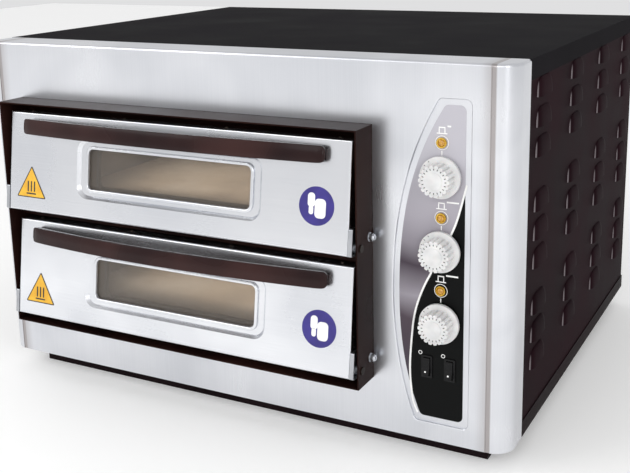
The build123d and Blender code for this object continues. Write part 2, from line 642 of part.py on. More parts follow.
def door_handle():
    """A bar that bows outwards in the middle, its ends rounded."""
    half = HANDLE_W / 2
    near, far = -HANDLE_END, -HANDLE_END - HANDLE_BOW
    back = ThreePointArc((-half, near), (0, far), (half, near))
    front = ThreePointArc((half, near - HANDLE_T), (0, far - HANDLE_T), (-half, near - HANDLE_T))
    edges = [back, Line((half, near), (half, near - HANDLE_T)), front,
             Line((-half, near - HANDLE_T), (-half, near))]
    bar = extrude(make_face(edges), amount=HANDLE_H / 2, both=True)
    corners = [e for e in bar.edges().filter_by(Axis.Y)]
    bar = fillet(corners, 6)
    return Pos(0, 0, HANDLE_MID) * bar


def handle_feet():
    """Two spacers between the handle's ends and the door skin."""
    feet = []
    for side in (-1, 1):
        foot = Pos(side * (HANDLE_W / 2 - FOOT_IN), -HANDLE_END / 2, HANDLE_MID) * Box(20, HANDLE_END, 14)
        feet.append(foot)
    return Compound(children=feet)


def hinge_cheeks():
    """Folded cheeks on both sides of a door, each with a bore for its hinge pin."""
    cheeks = []
    wide, high, sheet = 6.2, 38.0, 2.0
    for side in (-1, 1):
        edge = side * DOOR_W / 2
        plate = Pos(edge + side * sheet / 2, DOOR_T / 2, high / 2) * Box(sheet, DOOR_T, high)
        front = Pos(edge + side * wide / 2, sheet / 2, high / 2) * Box(wide, sheet, high)
        lower = Pos(edge + side * wide / 2, DOOR_T / 2, sheet / 2) * Box(wide, DOOR_T, sheet)
        boss = Pos(edge + side * 2.9, PIVOT_BACK, PIVOT_UP) * Rot(0, 90, 0) * Cylinder(PIN_R + 3.5, 5.8)
        cheek = plate + front + lower + boss
        corner = [e for e in cheek.edges().filter_by(Axis.X)
                  if e.center().Y < 0.1 and (e.center().Z < 0.1 or e.center().Z > high - 0.1)]
        cheek = fillet(corner, 1.9)
        bore = Pos(edge, PIVOT_BACK, PIVOT_UP) * Rot(0, 90, 0) * Cylinder(PIN_R + PIN_RUN, 40)
        cheeks.append(cheek - bore)
    return Compound(children=cheeks)


def door_gasket():
    """A woven seal round the inner side of a door."""
    ring = slab(572, 134, 12, DOOR_T, DOOR_T + GASKET_T, 80)
    return ring - slab(552, 114, 8, DOOR_T - 1, DOOR_T + GASKET_T + 1, 80)


def door_screws():
    """Four screws along the top edge of a door."""
    screws = []
    for step in (-1.5, -0.5, 0.5, 1.5):
        head = Pos(step * SCREW_PITCH, DOOR_T - 11, DOOR_H + 0.9) * Cylinder(3.4, 1.8)
        screws.append(fillet(head.edges().group_by(Axis.Z)[-1], 0.9))
    return Compound(children=screws)


def triangle_label():
    """A thin triangular label at the lower left of a door."""
    outline = Polyline((-288, 22), (-228, 22), (-258, 73), close=True)
    face = fillet(make_face(outline).vertices(), 3)
    return Pos(0, -0.3, 0) * extrude(Plane.XZ * face, amount=-0.3)


def round_label():
    """A thin round label at the lower right of a door."""
    return Pos(254, -0.15, 64) * Rot(90, 0, 0) * Cylinder(27, 0.3)


# ---------------------------------------------------------------- the whole oven
def make_nodes():
    nodes = {
        "base_plinth": base_plinth(),
        "base_pan": base_pan(),
        "top_cover": top_cover(),
        "side_panel_left": side_panel("left"),
        "side_panel_right": side_panel("right"),
        "rear_panel": rear_panel(),
        "cable_gland": cable_gland(),
        "front_fascia": front_fascia(),
        "control_film": control_film(),
        "indicator_lamps": indicator_lamps(),
        "switch_housings": switch_housings(),
        "rocker_left": rocker("left"),
        "rocker_right": rocker("right"),
        "door_frame": door_frame(),
        "insulation_blankets": insulation_blankets(),
        "oven_lamp_domes": oven_lamps("dome"),
        "oven_lamp_holders": oven_lamps("holder"),
        "terminal_block": terminal_block(),
        "hinge_plates": hinge_plates(),
        "hinge_pins": hinge_pins(),
        "stop_bolts": stop_bolts(),
        "casing_screws": casing_screws(),
    }
    for index, name in enumerate(KNOB_NAMES):
        nodes["thermostat_" + name] = thermostat(index)
        nodes["shaft_" + name] = shaft(index)
        nodes["knob_" + name] = knob(index)
        nodes["heater_bank_" + name] = heater_bank(name)
    door_pieces = {"skin": door_skin(), "inner_pan": door_inner_pan(), "glass": door_glass(),
                   "handle": door_handle(), "handle_feet": handle_feet(), "cheeks": hinge_cheeks(),
                   "gasket": door_gasket(), "screws": door_screws(),
                   "triangle_label": triangle_label(), "round_label": round_label()}
    for deck in DOOR_FOOT_Z:
        nodes["mouth_collar_" + deck] = mouth_collar(deck)
        nodes["chamber_" + deck] = chamber(deck)
        nodes["stone_" + deck] = stone(deck)
        for piece, shape in door_pieces.items():
            nodes[deck + "_door_" + piece] = on_door(deck, shape)
    return nodes


def write(nodes):
    """Centres the footprint on the origin and writes one file for each node."""
    boxes = [shape.bounding_box() for shape in nodes.values()]
    y_mid = (min(b.min.Y for b in boxes) + max(b.max.Y for b in boxes)) / 2
    for name, shape in nodes.items():
        solids = shape.solids()
        moved = [Pos(0, -y_mid, 0) * solid for solid in solids]
        whole = moved[0] if len(moved) == 1 else Compound(children=moved)
        export_step(whole, "parts/" + name + ".step")
    print("footprint centre in build coordinates, y =", round(y_mid, 4))
    for deck in DOOR_FOOT_Z:
        y, z = pivot_point(deck)
        print(deck, "hinge axis y, z =", round(y - y_mid, 4), round(z + Z_BODY, 4))


write(make_nodes())
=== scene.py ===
# %% [markdown]
# # A twin-deck countertop pizza oven
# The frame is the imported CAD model. It gives every part its true size and place, and it
# knows which parts swing or turn. This lesson adds a camera, a finish for every part,
# and the pieces that are better modelled in Blender: handles, louvred sides, window
# trims, dials, lamps, print and labels. The floor and the lights come last.

# %% Load the frame
import json
import math

import bpy
from mathutils import Matrix, Vector


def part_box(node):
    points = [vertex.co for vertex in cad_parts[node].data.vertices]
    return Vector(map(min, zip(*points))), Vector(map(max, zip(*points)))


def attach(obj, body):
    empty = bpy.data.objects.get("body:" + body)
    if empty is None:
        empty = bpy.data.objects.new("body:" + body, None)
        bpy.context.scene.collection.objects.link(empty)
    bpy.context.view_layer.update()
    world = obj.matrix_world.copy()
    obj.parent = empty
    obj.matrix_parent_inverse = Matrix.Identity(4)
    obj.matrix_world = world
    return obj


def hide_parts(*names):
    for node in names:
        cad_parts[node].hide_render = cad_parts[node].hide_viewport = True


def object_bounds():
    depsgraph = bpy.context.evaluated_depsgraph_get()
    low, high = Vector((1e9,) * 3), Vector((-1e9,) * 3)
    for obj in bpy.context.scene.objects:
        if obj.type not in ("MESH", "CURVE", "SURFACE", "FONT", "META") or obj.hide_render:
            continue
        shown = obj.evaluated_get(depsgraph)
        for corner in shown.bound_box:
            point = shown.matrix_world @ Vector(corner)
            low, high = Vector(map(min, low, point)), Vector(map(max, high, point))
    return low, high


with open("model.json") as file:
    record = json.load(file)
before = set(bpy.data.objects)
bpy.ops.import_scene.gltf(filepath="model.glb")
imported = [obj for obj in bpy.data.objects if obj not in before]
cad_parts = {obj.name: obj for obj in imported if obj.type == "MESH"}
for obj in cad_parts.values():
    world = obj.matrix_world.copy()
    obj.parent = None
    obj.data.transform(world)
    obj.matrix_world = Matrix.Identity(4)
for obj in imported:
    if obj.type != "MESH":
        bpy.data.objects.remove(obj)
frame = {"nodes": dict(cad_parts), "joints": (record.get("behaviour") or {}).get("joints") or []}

CAD_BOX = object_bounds()
NODES = frame["nodes"]
MM = 0.001
print("cad box", [[round(v, 4) for v in corner] for corner in CAD_BOX])

# %% [markdown]
# ## Selecting in code
# Blender's operators act on whatever is selected, so each new piece starts from an
# empty selection. By hand, faces and edges would be clicked. Here a small test on their
# place or direction picks them, which gives the same choice every time.

# %% Selection and edit mode
def leave_edit():
    """Goes back to object mode."""
    if bpy.context.object and bpy.context.object.mode != "OBJECT":
        bpy.ops.object.mode_set(mode="OBJECT")


def deselect_all():
    """Leaves edit mode and clears the selection."""
    leave_edit()
    bpy.ops.object.select_all(action="DESELECT")


def pick(piece, test, kind="FACE"):
    """Opens edit mode with only the faces, edges or vertices that pass the test.

    The test gets a face's centre and normal, an edge's middle and direction, or a
    vertex's place.
    """
    bpy.ops.object.mode_set(mode="EDIT")
    bpy.ops.mesh.select_mode(type=kind)
    bpy.ops.mesh.select_all(action="DESELECT")
    bpy.ops.object.mode_set(mode="OBJECT")
    mesh = piece.data
    if kind == "FACE":
        for face in mesh.polygons:
            face.select = test(face.center, face.normal)
    elif kind == "EDGE":
        for edge in mesh.edges:
            a, b = (mesh.vertices[i].co for i in edge.vertices)
            edge.select = test((a + b) / 2, (b - a).normalized())
    else:
        for vertex in mesh.vertices:
            vertex.select = test(vertex.co)
    bpy.ops.object.mode_set(mode="EDIT")


def faces_front(at, facing):
    """True for a face that looks out of the oven's front, along -Y."""
    return facing.y < -0.9


def runs_deep(middle, run):
    """True for an edge that runs from front to back."""
    return abs(run.y) > 0.9

# %% [markdown]
# ## Finishing a piece
# A finished piece has its place in its mesh and its object at the origin. Sharp edges
# don't exist on real parts, so most pieces get a small rounding that catches the light.
# Each piece then rides on a body of the frame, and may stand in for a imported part.

# %% Join, round and hand over
def freeze():
    """Bakes the active object's place, turn and size into its mesh, and returns it."""
    bpy.ops.object.transform_apply(location=True, rotation=True, scale=True)
    return bpy.context.object


def join_all(pieces, main=None):
    """Joins pieces into one object, the main piece or else the first."""
    deselect_all()
    for piece in pieces:
        piece.select_set(True)
    bpy.context.view_layer.objects.active = main or pieces[0]
    bpy.ops.object.join()


def bevel_rim(width, segments=3, angle=35):
    """Rounds every sharp edge of the active object with an applied Bevel modifier."""
    leave_edit()
    rounding = bpy.context.object.modifiers.new("rounding", "BEVEL")
    rounding.width, rounding.segments = width, segments
    rounding.limit_method, rounding.angle_limit = "ANGLE", math.radians(angle)
    bpy.ops.object.modifier_apply(modifier=rounding.name)


def finish_piece(name, body, finish, replaces=(), angle=35):
    """Names the active object, sets it at the origin, gives its finish and its body."""
    leave_edit()
    piece = freeze()
    piece.name = piece.data.name = name
    bpy.ops.object.shade_smooth_by_angle(angle=math.radians(angle))
    piece.data.materials.clear()
    piece.data.materials.append(finish)
    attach(piece, body)
    if replaces:
        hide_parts(*replaces)
    print(name, "faces", len(piece.data.polygons))
    return piece

# %% [markdown]
# ## Camera
# A long lens keeps the oven's upright edges nearly parallel. The camera looks down a
# little and its lens is shifted slightly, which keeps those edges straighter than a
# steeper tilt would. The shift is small, so that other views keep the oven in frame.

# %% Camera
CAMERA_AT = Vector((0.8137, -1.5530, 0.7389))
YAW, PITCH, ROLL = (math.radians(a) for a in (27.825, 12.948, -1.111))

ahead = Vector((-math.sin(YAW), math.cos(YAW), 0)) * math.cos(PITCH)
ahead.z = -math.sin(PITCH)
right = ahead.cross(Vector((0, 0, 1))).normalized()
up = right.cross(ahead)
side = right * math.cos(ROLL) + up * math.sin(ROLL)
top = up * math.cos(ROLL) - right * math.sin(ROLL)
turn = Matrix((side, top, -ahead)).transposed()

bpy.ops.object.camera_add(location=CAMERA_AT, rotation=turn.to_euler())
camera = bpy.context.object
camera.data.sensor_width = 36.0
camera.data.lens = 57.6
camera.data.shift_x, camera.data.shift_y = -0.011, -0.12
bpy.context.scene.camera = camera
print("camera", tuple(camera.location))

# %% [markdown]
# ## Colours and nodes
# Paint and metal colours are written as the usual hex codes of a screen. Blender works
# in linear light, so one function turns them. One more adds a node with its settings.

# %% Colour and node helpers
def colour(code):
    """A hex code such as C0C4CC as linear red, green, blue and alpha."""
    parts = [int(code[i:i + 2], 16) / 255 for i in (0, 2, 4)]
    linear = [c / 12.92 if c <= 0.04045 else ((c + 0.055) / 1.055) ** 2.4 for c in parts]
    return (*linear, 1.0)


def add(finish, kind, settings):
    """Adds a shader node. A key that names an input sets or links it.

    The keys stops and curve fill a colour ramp and a curve. Any other key sets the node.
    """
    made = finish.node_tree.nodes.new("ShaderNode" + kind)
    for key, value in settings.items():
        if key == "stops":
            ramp = made.color_ramp
            while len(ramp.elements) < len(value):
                ramp.elements.new(0.5)
            for element, (place, tone) in zip(ramp.elements, value):
                element.position, element.color = place, colour(tone)
        elif key == "curve":
            line = made.mapping.curves[0]
            while len(line.points) < len(value):
                line.points.new(0.5, 0.5)
            for point, place in zip(line.points, value):
                point.location = place
            made.mapping.update()
        elif isinstance(key, int) or key in made.inputs:
            if isinstance(value, bpy.types.Node):
                value = value.outputs[0]
            if isinstance(value, bpy.types.NodeSocket):
                finish.node_tree.links.new(value, made.inputs[key])
            else:
                made.inputs[key].default_value = value
        else:
            setattr(made, key, value)
    return made

# %% Start a finish and drive its shader
def start_finish(name, settings):
    """A material with a Principled shader; returns it, the shader and its coordinates."""
    finish = bpy.data.materials.new(name)
    finish.use_nodes = True
    shader = finish.node_tree.nodes["Principled BSDF"]
    for key, value in settings.items():
        shader.inputs[key].default_value = value
    place = add(finish, "TexCoord", {}).outputs["Object"]
    return finish, shader, place


def drive(finish, shader, links):
    """Links node outputs to the shader's sockets."""
    for key, value in links.items():
        source = value.outputs[0] if isinstance(value, bpy.types.Node) else value
        finish.node_tree.links.new(source, shader.inputs[key])


def grain(size_mm):
    """The noise scale whose features are about this many millimetres across."""
    return 1 / (size_mm * MM)

# %% [markdown]
# ## Stainless steel
# The front sheet and the doors are brushed stainless steel: fine parallel scratches
# drawn by an abrasive belt. They stretch reflections across the brushing, and handling
# leaves soft cloudy patches. A tiled picture of steel would show its repeats, so
# stretched noise draws the scratches. They are coarser than life so that they show.

# %% Brushed stainless steel
SCRATCH_RUN_MM = 260
CREASE_SHADE_MM, CREASE_SHADE_FADE_MM = 4, 22


def paint_crease_shade(finish, place, tone, crease):
    """Paints shade on the steel: greys it at the folds at x = +crease and -crease, fading
    inwards.
    """
    spot = add(finish, "SeparateXYZ", {"Vector": place})
    out = add(finish, "Math", {"operation": "ABSOLUTE", 0: spot.outputs["X"]})
    fold_shade = add(finish, "Math", {"operation": "COMPARE", 0: out, 1: crease, 2: CREASE_SHADE_MM * MM})
    near = add(finish, "MapRange", {
        "Value": out, "interpolation_type": "SMOOTHSTEP", "To Max": 0.45,
        "From Min": crease - CREASE_SHADE_FADE_MM * MM, "From Max": crease})
    inside = add(finish, "Math", {"operation": "LESS_THAN", 0: out, 1: crease + 3 * MM})
    shade_fade_in = add(finish, "Math", {"operation": "MULTIPLY", 0: near, 1: inside})
    painted_crease_shade = add(finish, "Math", {
        "operation": "MULTIPLY_ADD", "use_clamp": True, 0: fold_shade, 1: 0.35, 2: shade_fade_in})
    # Painted shade: a grey laid on the folds and faded into the steel beside them.
    mixed = add(finish, "Mix", {"data_type": "RGBA", 0: painted_crease_shade, 6: tone, 7: colour("9C9492")})
    return mixed.outputs[2]


def brushed_steel(name, tones, along, roughness, scratch=0.10, pitch_mm=1.6, cloud_mm=170,
                  crease=None):
    """Sheet metal brushed along one axis, with two tones, soft clouds and painted shade on the
    creases.
    """
    finish, shader, place = start_finish(name, {"Metallic": 1.0})
    stretch = [grain(SCRATCH_RUN_MM if axis == along else pitch_mm) for axis in "XYZ"]
    lines = add(finish, "Mapping", {"Vector": place, "Scale": stretch})
    brushing = add(finish, "TexNoise", {
        "Vector": lines, "Scale": 1.0, "Detail": 4.0, "Roughness": 0.62})
    clouds = add(finish, "TexNoise", {
        "Vector": place, "Scale": grain(cloud_mm), "Detail": 2.5, "Roughness": 0.5,
        "Distortion": 0.4})
    mixed = add(finish, "Math", {
        "operation": "MULTIPLY_ADD", 0: brushing.outputs[0], 1: 0.22, 2: clouds.outputs[0]})
    tone = add(finish, "ValToRGB", {0: mixed, "stops": [(0.42, tones[0]), (0.92, tones[1])]})
    gloss = add(finish, "MapRange", {
        "Value": mixed, "From Min": 0.4, "From Max": 0.95,
        "To Min": roughness[1], "To Max": roughness[0]})
    relief = add(finish, "Bump", {
        "Height": brushing.outputs[0], "Strength": scratch, "Distance": 0.15 * MM})
    # Painted shade on the folds of the front sheet.
    if crease:
        tone = paint_crease_shade(finish, place, tone, crease)
    drive(finish, shader, {"Base Color": tone, "Roughness": gloss, "Normal": relief})
    return finish

# %% The steels
# Front sheet: brushed up and down, so lamps smear sideways; its folds get painted shade.
FRONT_STEEL = brushed_steel("brushed_stainless_front", ("CDCFD4", "E6E7EB"), "Z",
                            (0.24, 0.34), 0.06, crease=0.42)
# Doors: brushed from side to side and a little smoother, so they look brighter.
DOOR_STEEL = brushed_steel("brushed_stainless_door", ("D2D4D9", "EDEEF1"), "X",
                           (0.20, 0.30), 0.03)
# Hinge plates and door cheeks: plain rolled steel, greyer, with coarse faint lines.
PLAIN_STEEL = brushed_steel("mill_finish_steel", ("A7A9AD", "C9CBCF"), "X",
                            (0.26, 0.38), 0.05, 2.2, 60)
# Chambers: heat turns the steel straw-brown and matt.
CHAMBER_STEEL = brushed_steel("heat_tinted_steel", ("7C6F63", "A59888"), "Z",
                              (0.38, 0.55), 0.08, 3.0, 90)
# Heating rods, hinge pins and door screws: browned by the heat, with hardly any shine.
SHEATH = brushed_steel("oxidised_heater_sheath", ("2E2926", "4A423C"), "X",
                       (0.42, 0.58), 0.08, 2.0, 25)
# Bolts, casing screws and shafts: bright zinc plating, which gives small sharp glints.
ZINC = brushed_steel("bright_zinc_plate", ("B4B7BC", "D4D6DA"), "X",
                     (0.22, 0.32), 0.03, 1.2, 10)
# Lamp rims: a thin gold-coloured plating, nearly polished.
GILT = brushed_steel("gilt_metal", ("B58A2C", "E6C25C"), "X",
                     (0.16, 0.26), 0.03, 1.0, 12)
print("steels", len(bpy.data.materials))

# %% [markdown]
# ## Powder coat and enamel
# The casing is steel with a black powder coat, baked on as a dust, which leaves a fine
# orange-peel texture and a broad dull shine. The door surround is smoother. Plain black
# would look like a hole, so two close warm tones drift over each other, and a low
# specular level keeps the pale room from greying the flat sheets at a slant.

# %% Coatings
DRIFT_MM = 140


def paint_front_highlight(finish, tone, highlight_tone):
    """Paints a highlight: lightens what faces forward, along -Y."""
    normal = add(finish, "NewGeometry", {}).outputs["Normal"]
    facing = add(finish, "SeparateXYZ", {"Vector": normal})
    rim = add(finish, "MapRange", {
        "Value": facing.outputs["Y"], "interpolation_type": "SMOOTHSTEP",
        "From Min": -0.62, "From Max": -0.97})
    mixed = add(finish, "Mix", {"data_type": "RGBA", 0: rim, 6: tone, 7: colour(highlight_tone)})
    return mixed.outputs[2]


def coated(name, tones, roughness, grain_mm, relief_mm, strength, mirror=0.3, front_highlight=None,
           coat=(0.0, 0.03)):
    """Two close tones, an orange-peel relief, a painted highlight on forward faces and a clear
    coat if given.
    """
    finish, shader, place = start_finish(name, {
        "IOR": 1.5, "Specular IOR Level": mirror,
        "Coat Weight": coat[0], "Coat Roughness": coat[1]})
    peel = add(finish, "TexNoise", {
        "Vector": place, "Scale": grain(grain_mm), "Detail": 3.0, "Roughness": 0.6})
    wide = add(finish, "TexNoise", {
        "Vector": place, "Scale": grain(DRIFT_MM), "Detail": 2.0})
    tone = add(finish, "ValToRGB", {
        0: wide.outputs[0], "stops": [(0.35, tones[0]), (0.7, tones[1])]})
    gloss = add(finish, "MapRange", {
        "Value": wide.outputs[0], "From Min": 0.3, "From Max": 0.7,
        "To Min": roughness[0], "To Max": roughness[1]})
    relief = add(finish, "Bump", {
        "Height": peel.outputs[0], "Strength": strength, "Distance": relief_mm * MM})
    # Painted highlight on the faces that look forward.
    if front_highlight:
        tone = paint_front_highlight(finish, tone, front_highlight)
    drive(finish, shader, {"Base Color": tone, "Roughness": gloss, "Normal": relief})
    return finish

# %% The black and dark finishes
# Rear, plinth and base pan: powder coat straight from the oven line.
POWDER_BLACK = coated("black_powder_coat", ("171012", "22191B"),
                      (0.4, 0.5), 1.6, 0.25, 0.3, 0.015)
# Side panels: the same coat, a shade redder, with a painted highlight on the louvres' front
# ends.
SIDE_BLACK = coated("black_powder_coat_side", ("180D11", "25151A"),
                    (0.4, 0.5), 1.6, 0.25, 0.3, 0.006, "857D80")
# Top cover: wiped often, so more matt.
COVER_BLACK = coated("black_powder_coat_cover", ("141315", "1F1D20"),
                     (0.5, 0.62), 1.6, 0.25, 0.4, 0.005)
# Door surround: brown-black enamel, smooth, with a soft sheen.
ENAMEL_BLACK = coated("black_enamel", ("1B0E0D", "2B1915"),
                      (0.26, 0.36), 6.0, 0.12, 0.15, 0.03)
# Rockers and gland: moulded ABS with a fine skin.
BLACK_PLASTIC = coated("moulded_black_abs", ("0C0C0D", "151516"),
                       (0.32, 0.42), 0.9, 0.1, 0.2, 0.2)
# Thermostat cases: grey moulded plastic, hidden behind the front.
CASE_GREY = coated("moulded_grey_case", ("5C5D5F", "77787B"),
                   (0.45, 0.55), 1.0, 0.1, 0.2)
# Handles: dark brown bakelite, whose pressed skin works like a thin clear coat.
BAKELITE = coated("satin_dark_bakelite", ("1E1011", "3B2422"),
                  (0.22, 0.34), 2.2, 0.08, 0.12, 0.08, coat=(0.18, 0.12))
print("finishes", len(bpy.data.materials))

# %% [markdown]
# ## Plastics, ink and vinyl
# The dials are ivory-white thermoset, moulded and slightly waxy: a little light sinks
# in, which softens the shadows between their teeth. Ink and vinyl are thin and even, and
# a faint drift of tone and gloss is all that sets them apart from flat colour.

# %% Moulded and printed finishes
def moulded(name, tones, roughness, waxy=0.0, grain_mm=1.2):
    """Moulded plastic with a faint colour drift and a fine skin."""
    finish, shader, place = start_finish(name, {
        "IOR": 1.5, "Subsurface Weight": waxy, "Subsurface Scale": 2 * MM})
    drift = add(finish, "TexNoise", {"Vector": place, "Scale": grain(18), "Detail": 2.0})
    skin = add(finish, "TexNoise", {
        "Vector": place, "Scale": grain(grain_mm), "Detail": 2.0})
    tone = add(finish, "ValToRGB", {
        0: drift.outputs[0], "stops": [(0.3, tones[0]), (0.7, tones[1])]})
    gloss = add(finish, "MapRange", {
        "Value": skin.outputs[0], "To Min": roughness - 0.06, "To Max": roughness + 0.08})
    relief = add(finish, "Bump", {
        "Height": skin.outputs[0], "Strength": 0.12, "Distance": 0.08 * MM})
    drive(finish, shader, {"Base Color": tone, "Roughness": gloss, "Normal": relief})
    return finish


# Dials: off-white and waxy.
IVORY = moulded("ivory_thermoset", ("CBCBCB", "DEDDDC"), 0.32, 0.05)
# Screen print: matt ink, white on the panel and the rockers, dark on dials and labels;
# the dark bars on the dials' faces are painted shade.
WHITE_PRINT = moulded("white_screen_print", ("E4E4E2", "F4F4F2"), 0.45)
DARK_PRINT_AND_SHADE = moulded("dark_screen_print_and_shade", ("2A2726", "3A3634"), 0.5)
# Labels: coloured vinyl with a satin face.
YELLOW_FOIL = moulded("yellow_vinyl_label", ("DBA326", "E9B834"), 0.36)
BLUE_FOIL = moulded("blue_vinyl_label", ("2A2070", "362C84"), 0.34)
# Lamp holders and terminals: glazed porcelain.
WHITE_CERAMIC = moulded("white_ceramic", ("DAD6CC", "ECE8DF"), 0.4)

# %% [markdown]
# ## Clay, glass, amber and fibres
# The baking stones are pressed fired clay, matt with grit and toasted patches. The panes
# are clear heat-proof glass: mostly see-through, with more mirror at a slant, so Fresnel
# drives their alpha. The lamp lenses are ribbed amber polycarbonate, and the chambers
# are wrapped in mineral wool, with a woven glass-fibre cord as the door gasket.

# %% Fired clay
CLAY, clay_shader, place = start_finish("fired_clay", {"IOR": 1.5})
speck = add(CLAY, "TexVoronoi", {"Vector": place, "Scale": grain(5), "Randomness": 1.0})
grit = add(CLAY, "TexNoise", {
    "Vector": place, "Scale": grain(3), "Detail": 5.0, "Roughness": 0.7})
toast = add(CLAY, "TexNoise", {"Vector": place, "Scale": grain(120), "Detail": 3.0})
clay_mix = add(CLAY, "Math", {
    "operation": "MULTIPLY_ADD", 0: grit.outputs[0], 1: 0.5, 2: toast.outputs[0]})
clay_tone = add(CLAY, "ValToRGB", {
    0: clay_mix, "stops": [(0.45, "978877"), (0.75, "BDB09C"), (1.0, "D0C7B8")]})
clay_relief = add(CLAY, "Bump", {
    "Height": grit.outputs[0], "Strength": 0.5, "Distance": 0.4 * MM})
clay_gloss = add(CLAY, "MapRange", {
    "Value": speck.outputs[0], "To Min": 0.75, "To Max": 0.92})
drive(CLAY, clay_shader, {
    "Base Color": clay_tone, "Normal": clay_relief, "Roughness": clay_gloss})

# %% Clear glass
GLASS, glass_shader, place = start_finish("clear_heat_proof_glass", {
    "IOR": 1.52, "Roughness": 0.03, "Base Color": colour("9A938C")})
slant = add(GLASS, "Fresnel", {"IOR": 1.5})
haze = add(GLASS, "TexNoise", {"Vector": place, "Scale": grain(60), "Detail": 2.0})
veil = add(GLASS, "MapRange", {"Value": haze.outputs[0], "To Min": 0.05, "To Max": 0.12})
seen = add(GLASS, "Math", {"operation": "ADD", "use_clamp": True, 0: slant, 1: veil})
drive(GLASS, glass_shader, {"Alpha": seen})

# %% Amber lens
AMBER, amber_shader, place = start_finish("amber_polycarbonate", {
    "IOR": 1.58, "Roughness": 0.1, "Coat Weight": 0.6,
    "Emission Strength": 0.06, "Emission Color": colour("E08A10")})
ribs = add(AMBER, "TexVoronoi", {"Vector": place, "Scale": grain(2.2)})
amber_tone = add(AMBER, "ValToRGB", {
    0: ribs.outputs[0], "stops": [(0.0, "E3B23C"), (0.6, "A8740F")]})
drive(AMBER, amber_shader, {"Base Color": amber_tone})

# %% Mineral wool and glass-fibre cord
def fibrous(name, tones, grain_mm, strength):
    """Matt tangled strands with a soft sheen."""
    finish, shader, place = start_finish(name, {"Roughness": 0.95, "Sheen Weight": 0.3})
    strands = add(finish, "TexNoise", {
        "Vector": place, "Scale": grain(grain_mm), "Detail": 6.0, "Distortion": 1.2})
    tone = add(finish, "ValToRGB", {
        0: strands.outputs[0], "stops": [(0.3, tones[0]), (0.7, tones[1])]})
    relief = add(finish, "Bump", {
        "Height": strands.outputs[0], "Strength": strength, "Distance": 0.8 * MM})
    drive(finish, shader, {"Base Color": tone, "Normal": relief})
    return finish


# Yellow-brown wool round the chambers, and the pale cord of the door gasket.
WOOL = fibrous("mineral_wool", ("8E7F4E", "BFAE78"), 6.0, 0.8)
FIBRE = fibrous("woven_glass_fibre", ("B9B3A5", "DCD7CB"), 2.0, 0.6)
print("finishes", len(bpy.data.materials))

# %% [markdown]
# ## The printed control panel
# A polyester film is stuck in the pressed field of the front sheet. Its upper part is
# silver with soft darker bands, darker towards the bottom; these bands are painted shade
# and painted reflection on the silver print. Its lower right part is black, and a white
# line swings between them. The border could be cut into the mesh, but a curve node that
# gives its x for each height keeps the film whole, and the same points shape the white
# line later.

# %% Where black meets silver
PANEL_LOW, PANEL_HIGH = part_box("control_film")
CASING_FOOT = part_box("front_fascia")[0].z
# The border from top to bottom, as x and height above the casing's foot, in mm.
SWING = [(383.4, 367.8), (372.7, 325.9), (364.0, 304.4), (339.3, 254.2), (323.1, 222.6),
         (311.0, 185.5), (307.0, 145.2), (304.1, 100.5), (308.2, 61.2), (313.9, 39.4),
         (327.1, 32.2)]
SWING_X, SWING_WIDE, SWING_TALL = 300, 100, 400
BLACK_TOP = 366

FILM, film_shader, place = start_finish("printed_polyester_film", {
    "IOR": 1.5, "Specular IOR Level": 0.08})
spot = add(FILM, "SeparateXYZ", {"Vector": place})
share = add(FILM, "MapRange", {
    "Value": spot.outputs["Z"],
    "From Min": CASING_FOOT, "From Max": CASING_FOOT + SWING_TALL * MM})
swing = add(FILM, "FloatCurve", {
    "Value": share,
    "curve": [(z / SWING_TALL, (x - SWING_X) / SWING_WIDE) for x, z in reversed(SWING)]})
border = add(FILM, "MapRange", {
    "Value": swing, "To Min": SWING_X * MM, "To Max": (SWING_X + SWING_WIDE) * MM})
beyond = add(FILM, "Math", {"operation": "SUBTRACT", 0: spot.outputs["X"], 1: border})
crossed = add(FILM, "Math", {"operation": "GREATER_THAN", 0: beyond, 1: 0.0})
under = add(FILM, "Math", {
    "operation": "LESS_THAN", 0: spot.outputs["Z"], 1: CASING_FOOT + BLACK_TOP * MM})
is_black = add(FILM, "Math", {"operation": "MULTIPLY", 0: under, 1: crossed})

# %% Silver with soft bands of painted shade and reflection
# Painted shade and reflection on the silver: darker towards the bottom, in soft bands.
shade_fall = add(FILM, "MapRange", {
    "Value": spot.outputs["Z"],
    "From Min": CASING_FOOT + 120 * MM, "From Max": CASING_FOOT + 440 * MM})
sheen = add(FILM, "TexNoise", {"Vector": place, "Scale": grain(70), "Detail": 1.0})
reflection_bands = add(FILM, "Math", {
    "operation": "MULTIPLY_ADD", 0: sheen.outputs[0], 1: 0.12, 2: shade_fall})
silver_with_painted_bands = add(FILM, "ValToRGB", {0: reflection_bands, "stops": [
    (0.06, "4A434B"), (0.24, "564C54"), (0.36, "9A959D"), (0.50, "4E454E"),
    (0.60, "8F8A92"), (0.72, "A5A1A9"), (0.96, "B6B4BB")]})
film_tone = add(FILM, "Mix", {
    "data_type": "RGBA", 0: is_black, 6: silver_with_painted_bands, 7: colour("0B0C0C")})
film_gloss = add(FILM, "MapRange", {
    "Value": sheen.outputs[0], "To Min": 0.28, "To Max": 0.4})
drive(FILM, film_shader, {"Base Color": film_tone.outputs[2], "Roughness": film_gloss})
print("panel from", round(PANEL_LOW.z, 4), "to", round(PANEL_HIGH.z, 4))

# %% [markdown]
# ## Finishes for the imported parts
# Parts whose shape is already right keep it and only get their finish. The finish goes
# into the object's own material slot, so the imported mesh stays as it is.

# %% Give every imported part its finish
DECKS = ("lower", "upper")
DIALS = ("top", "middle", "bottom")


def finish_nodes(finish, names):
    """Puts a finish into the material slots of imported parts."""
    for name in names:
        part = NODES[name]
        if not part.material_slots:
            part.data.materials.append(finish)
        for holder in part.material_slots:
            holder.link = "OBJECT"
            holder.material = finish


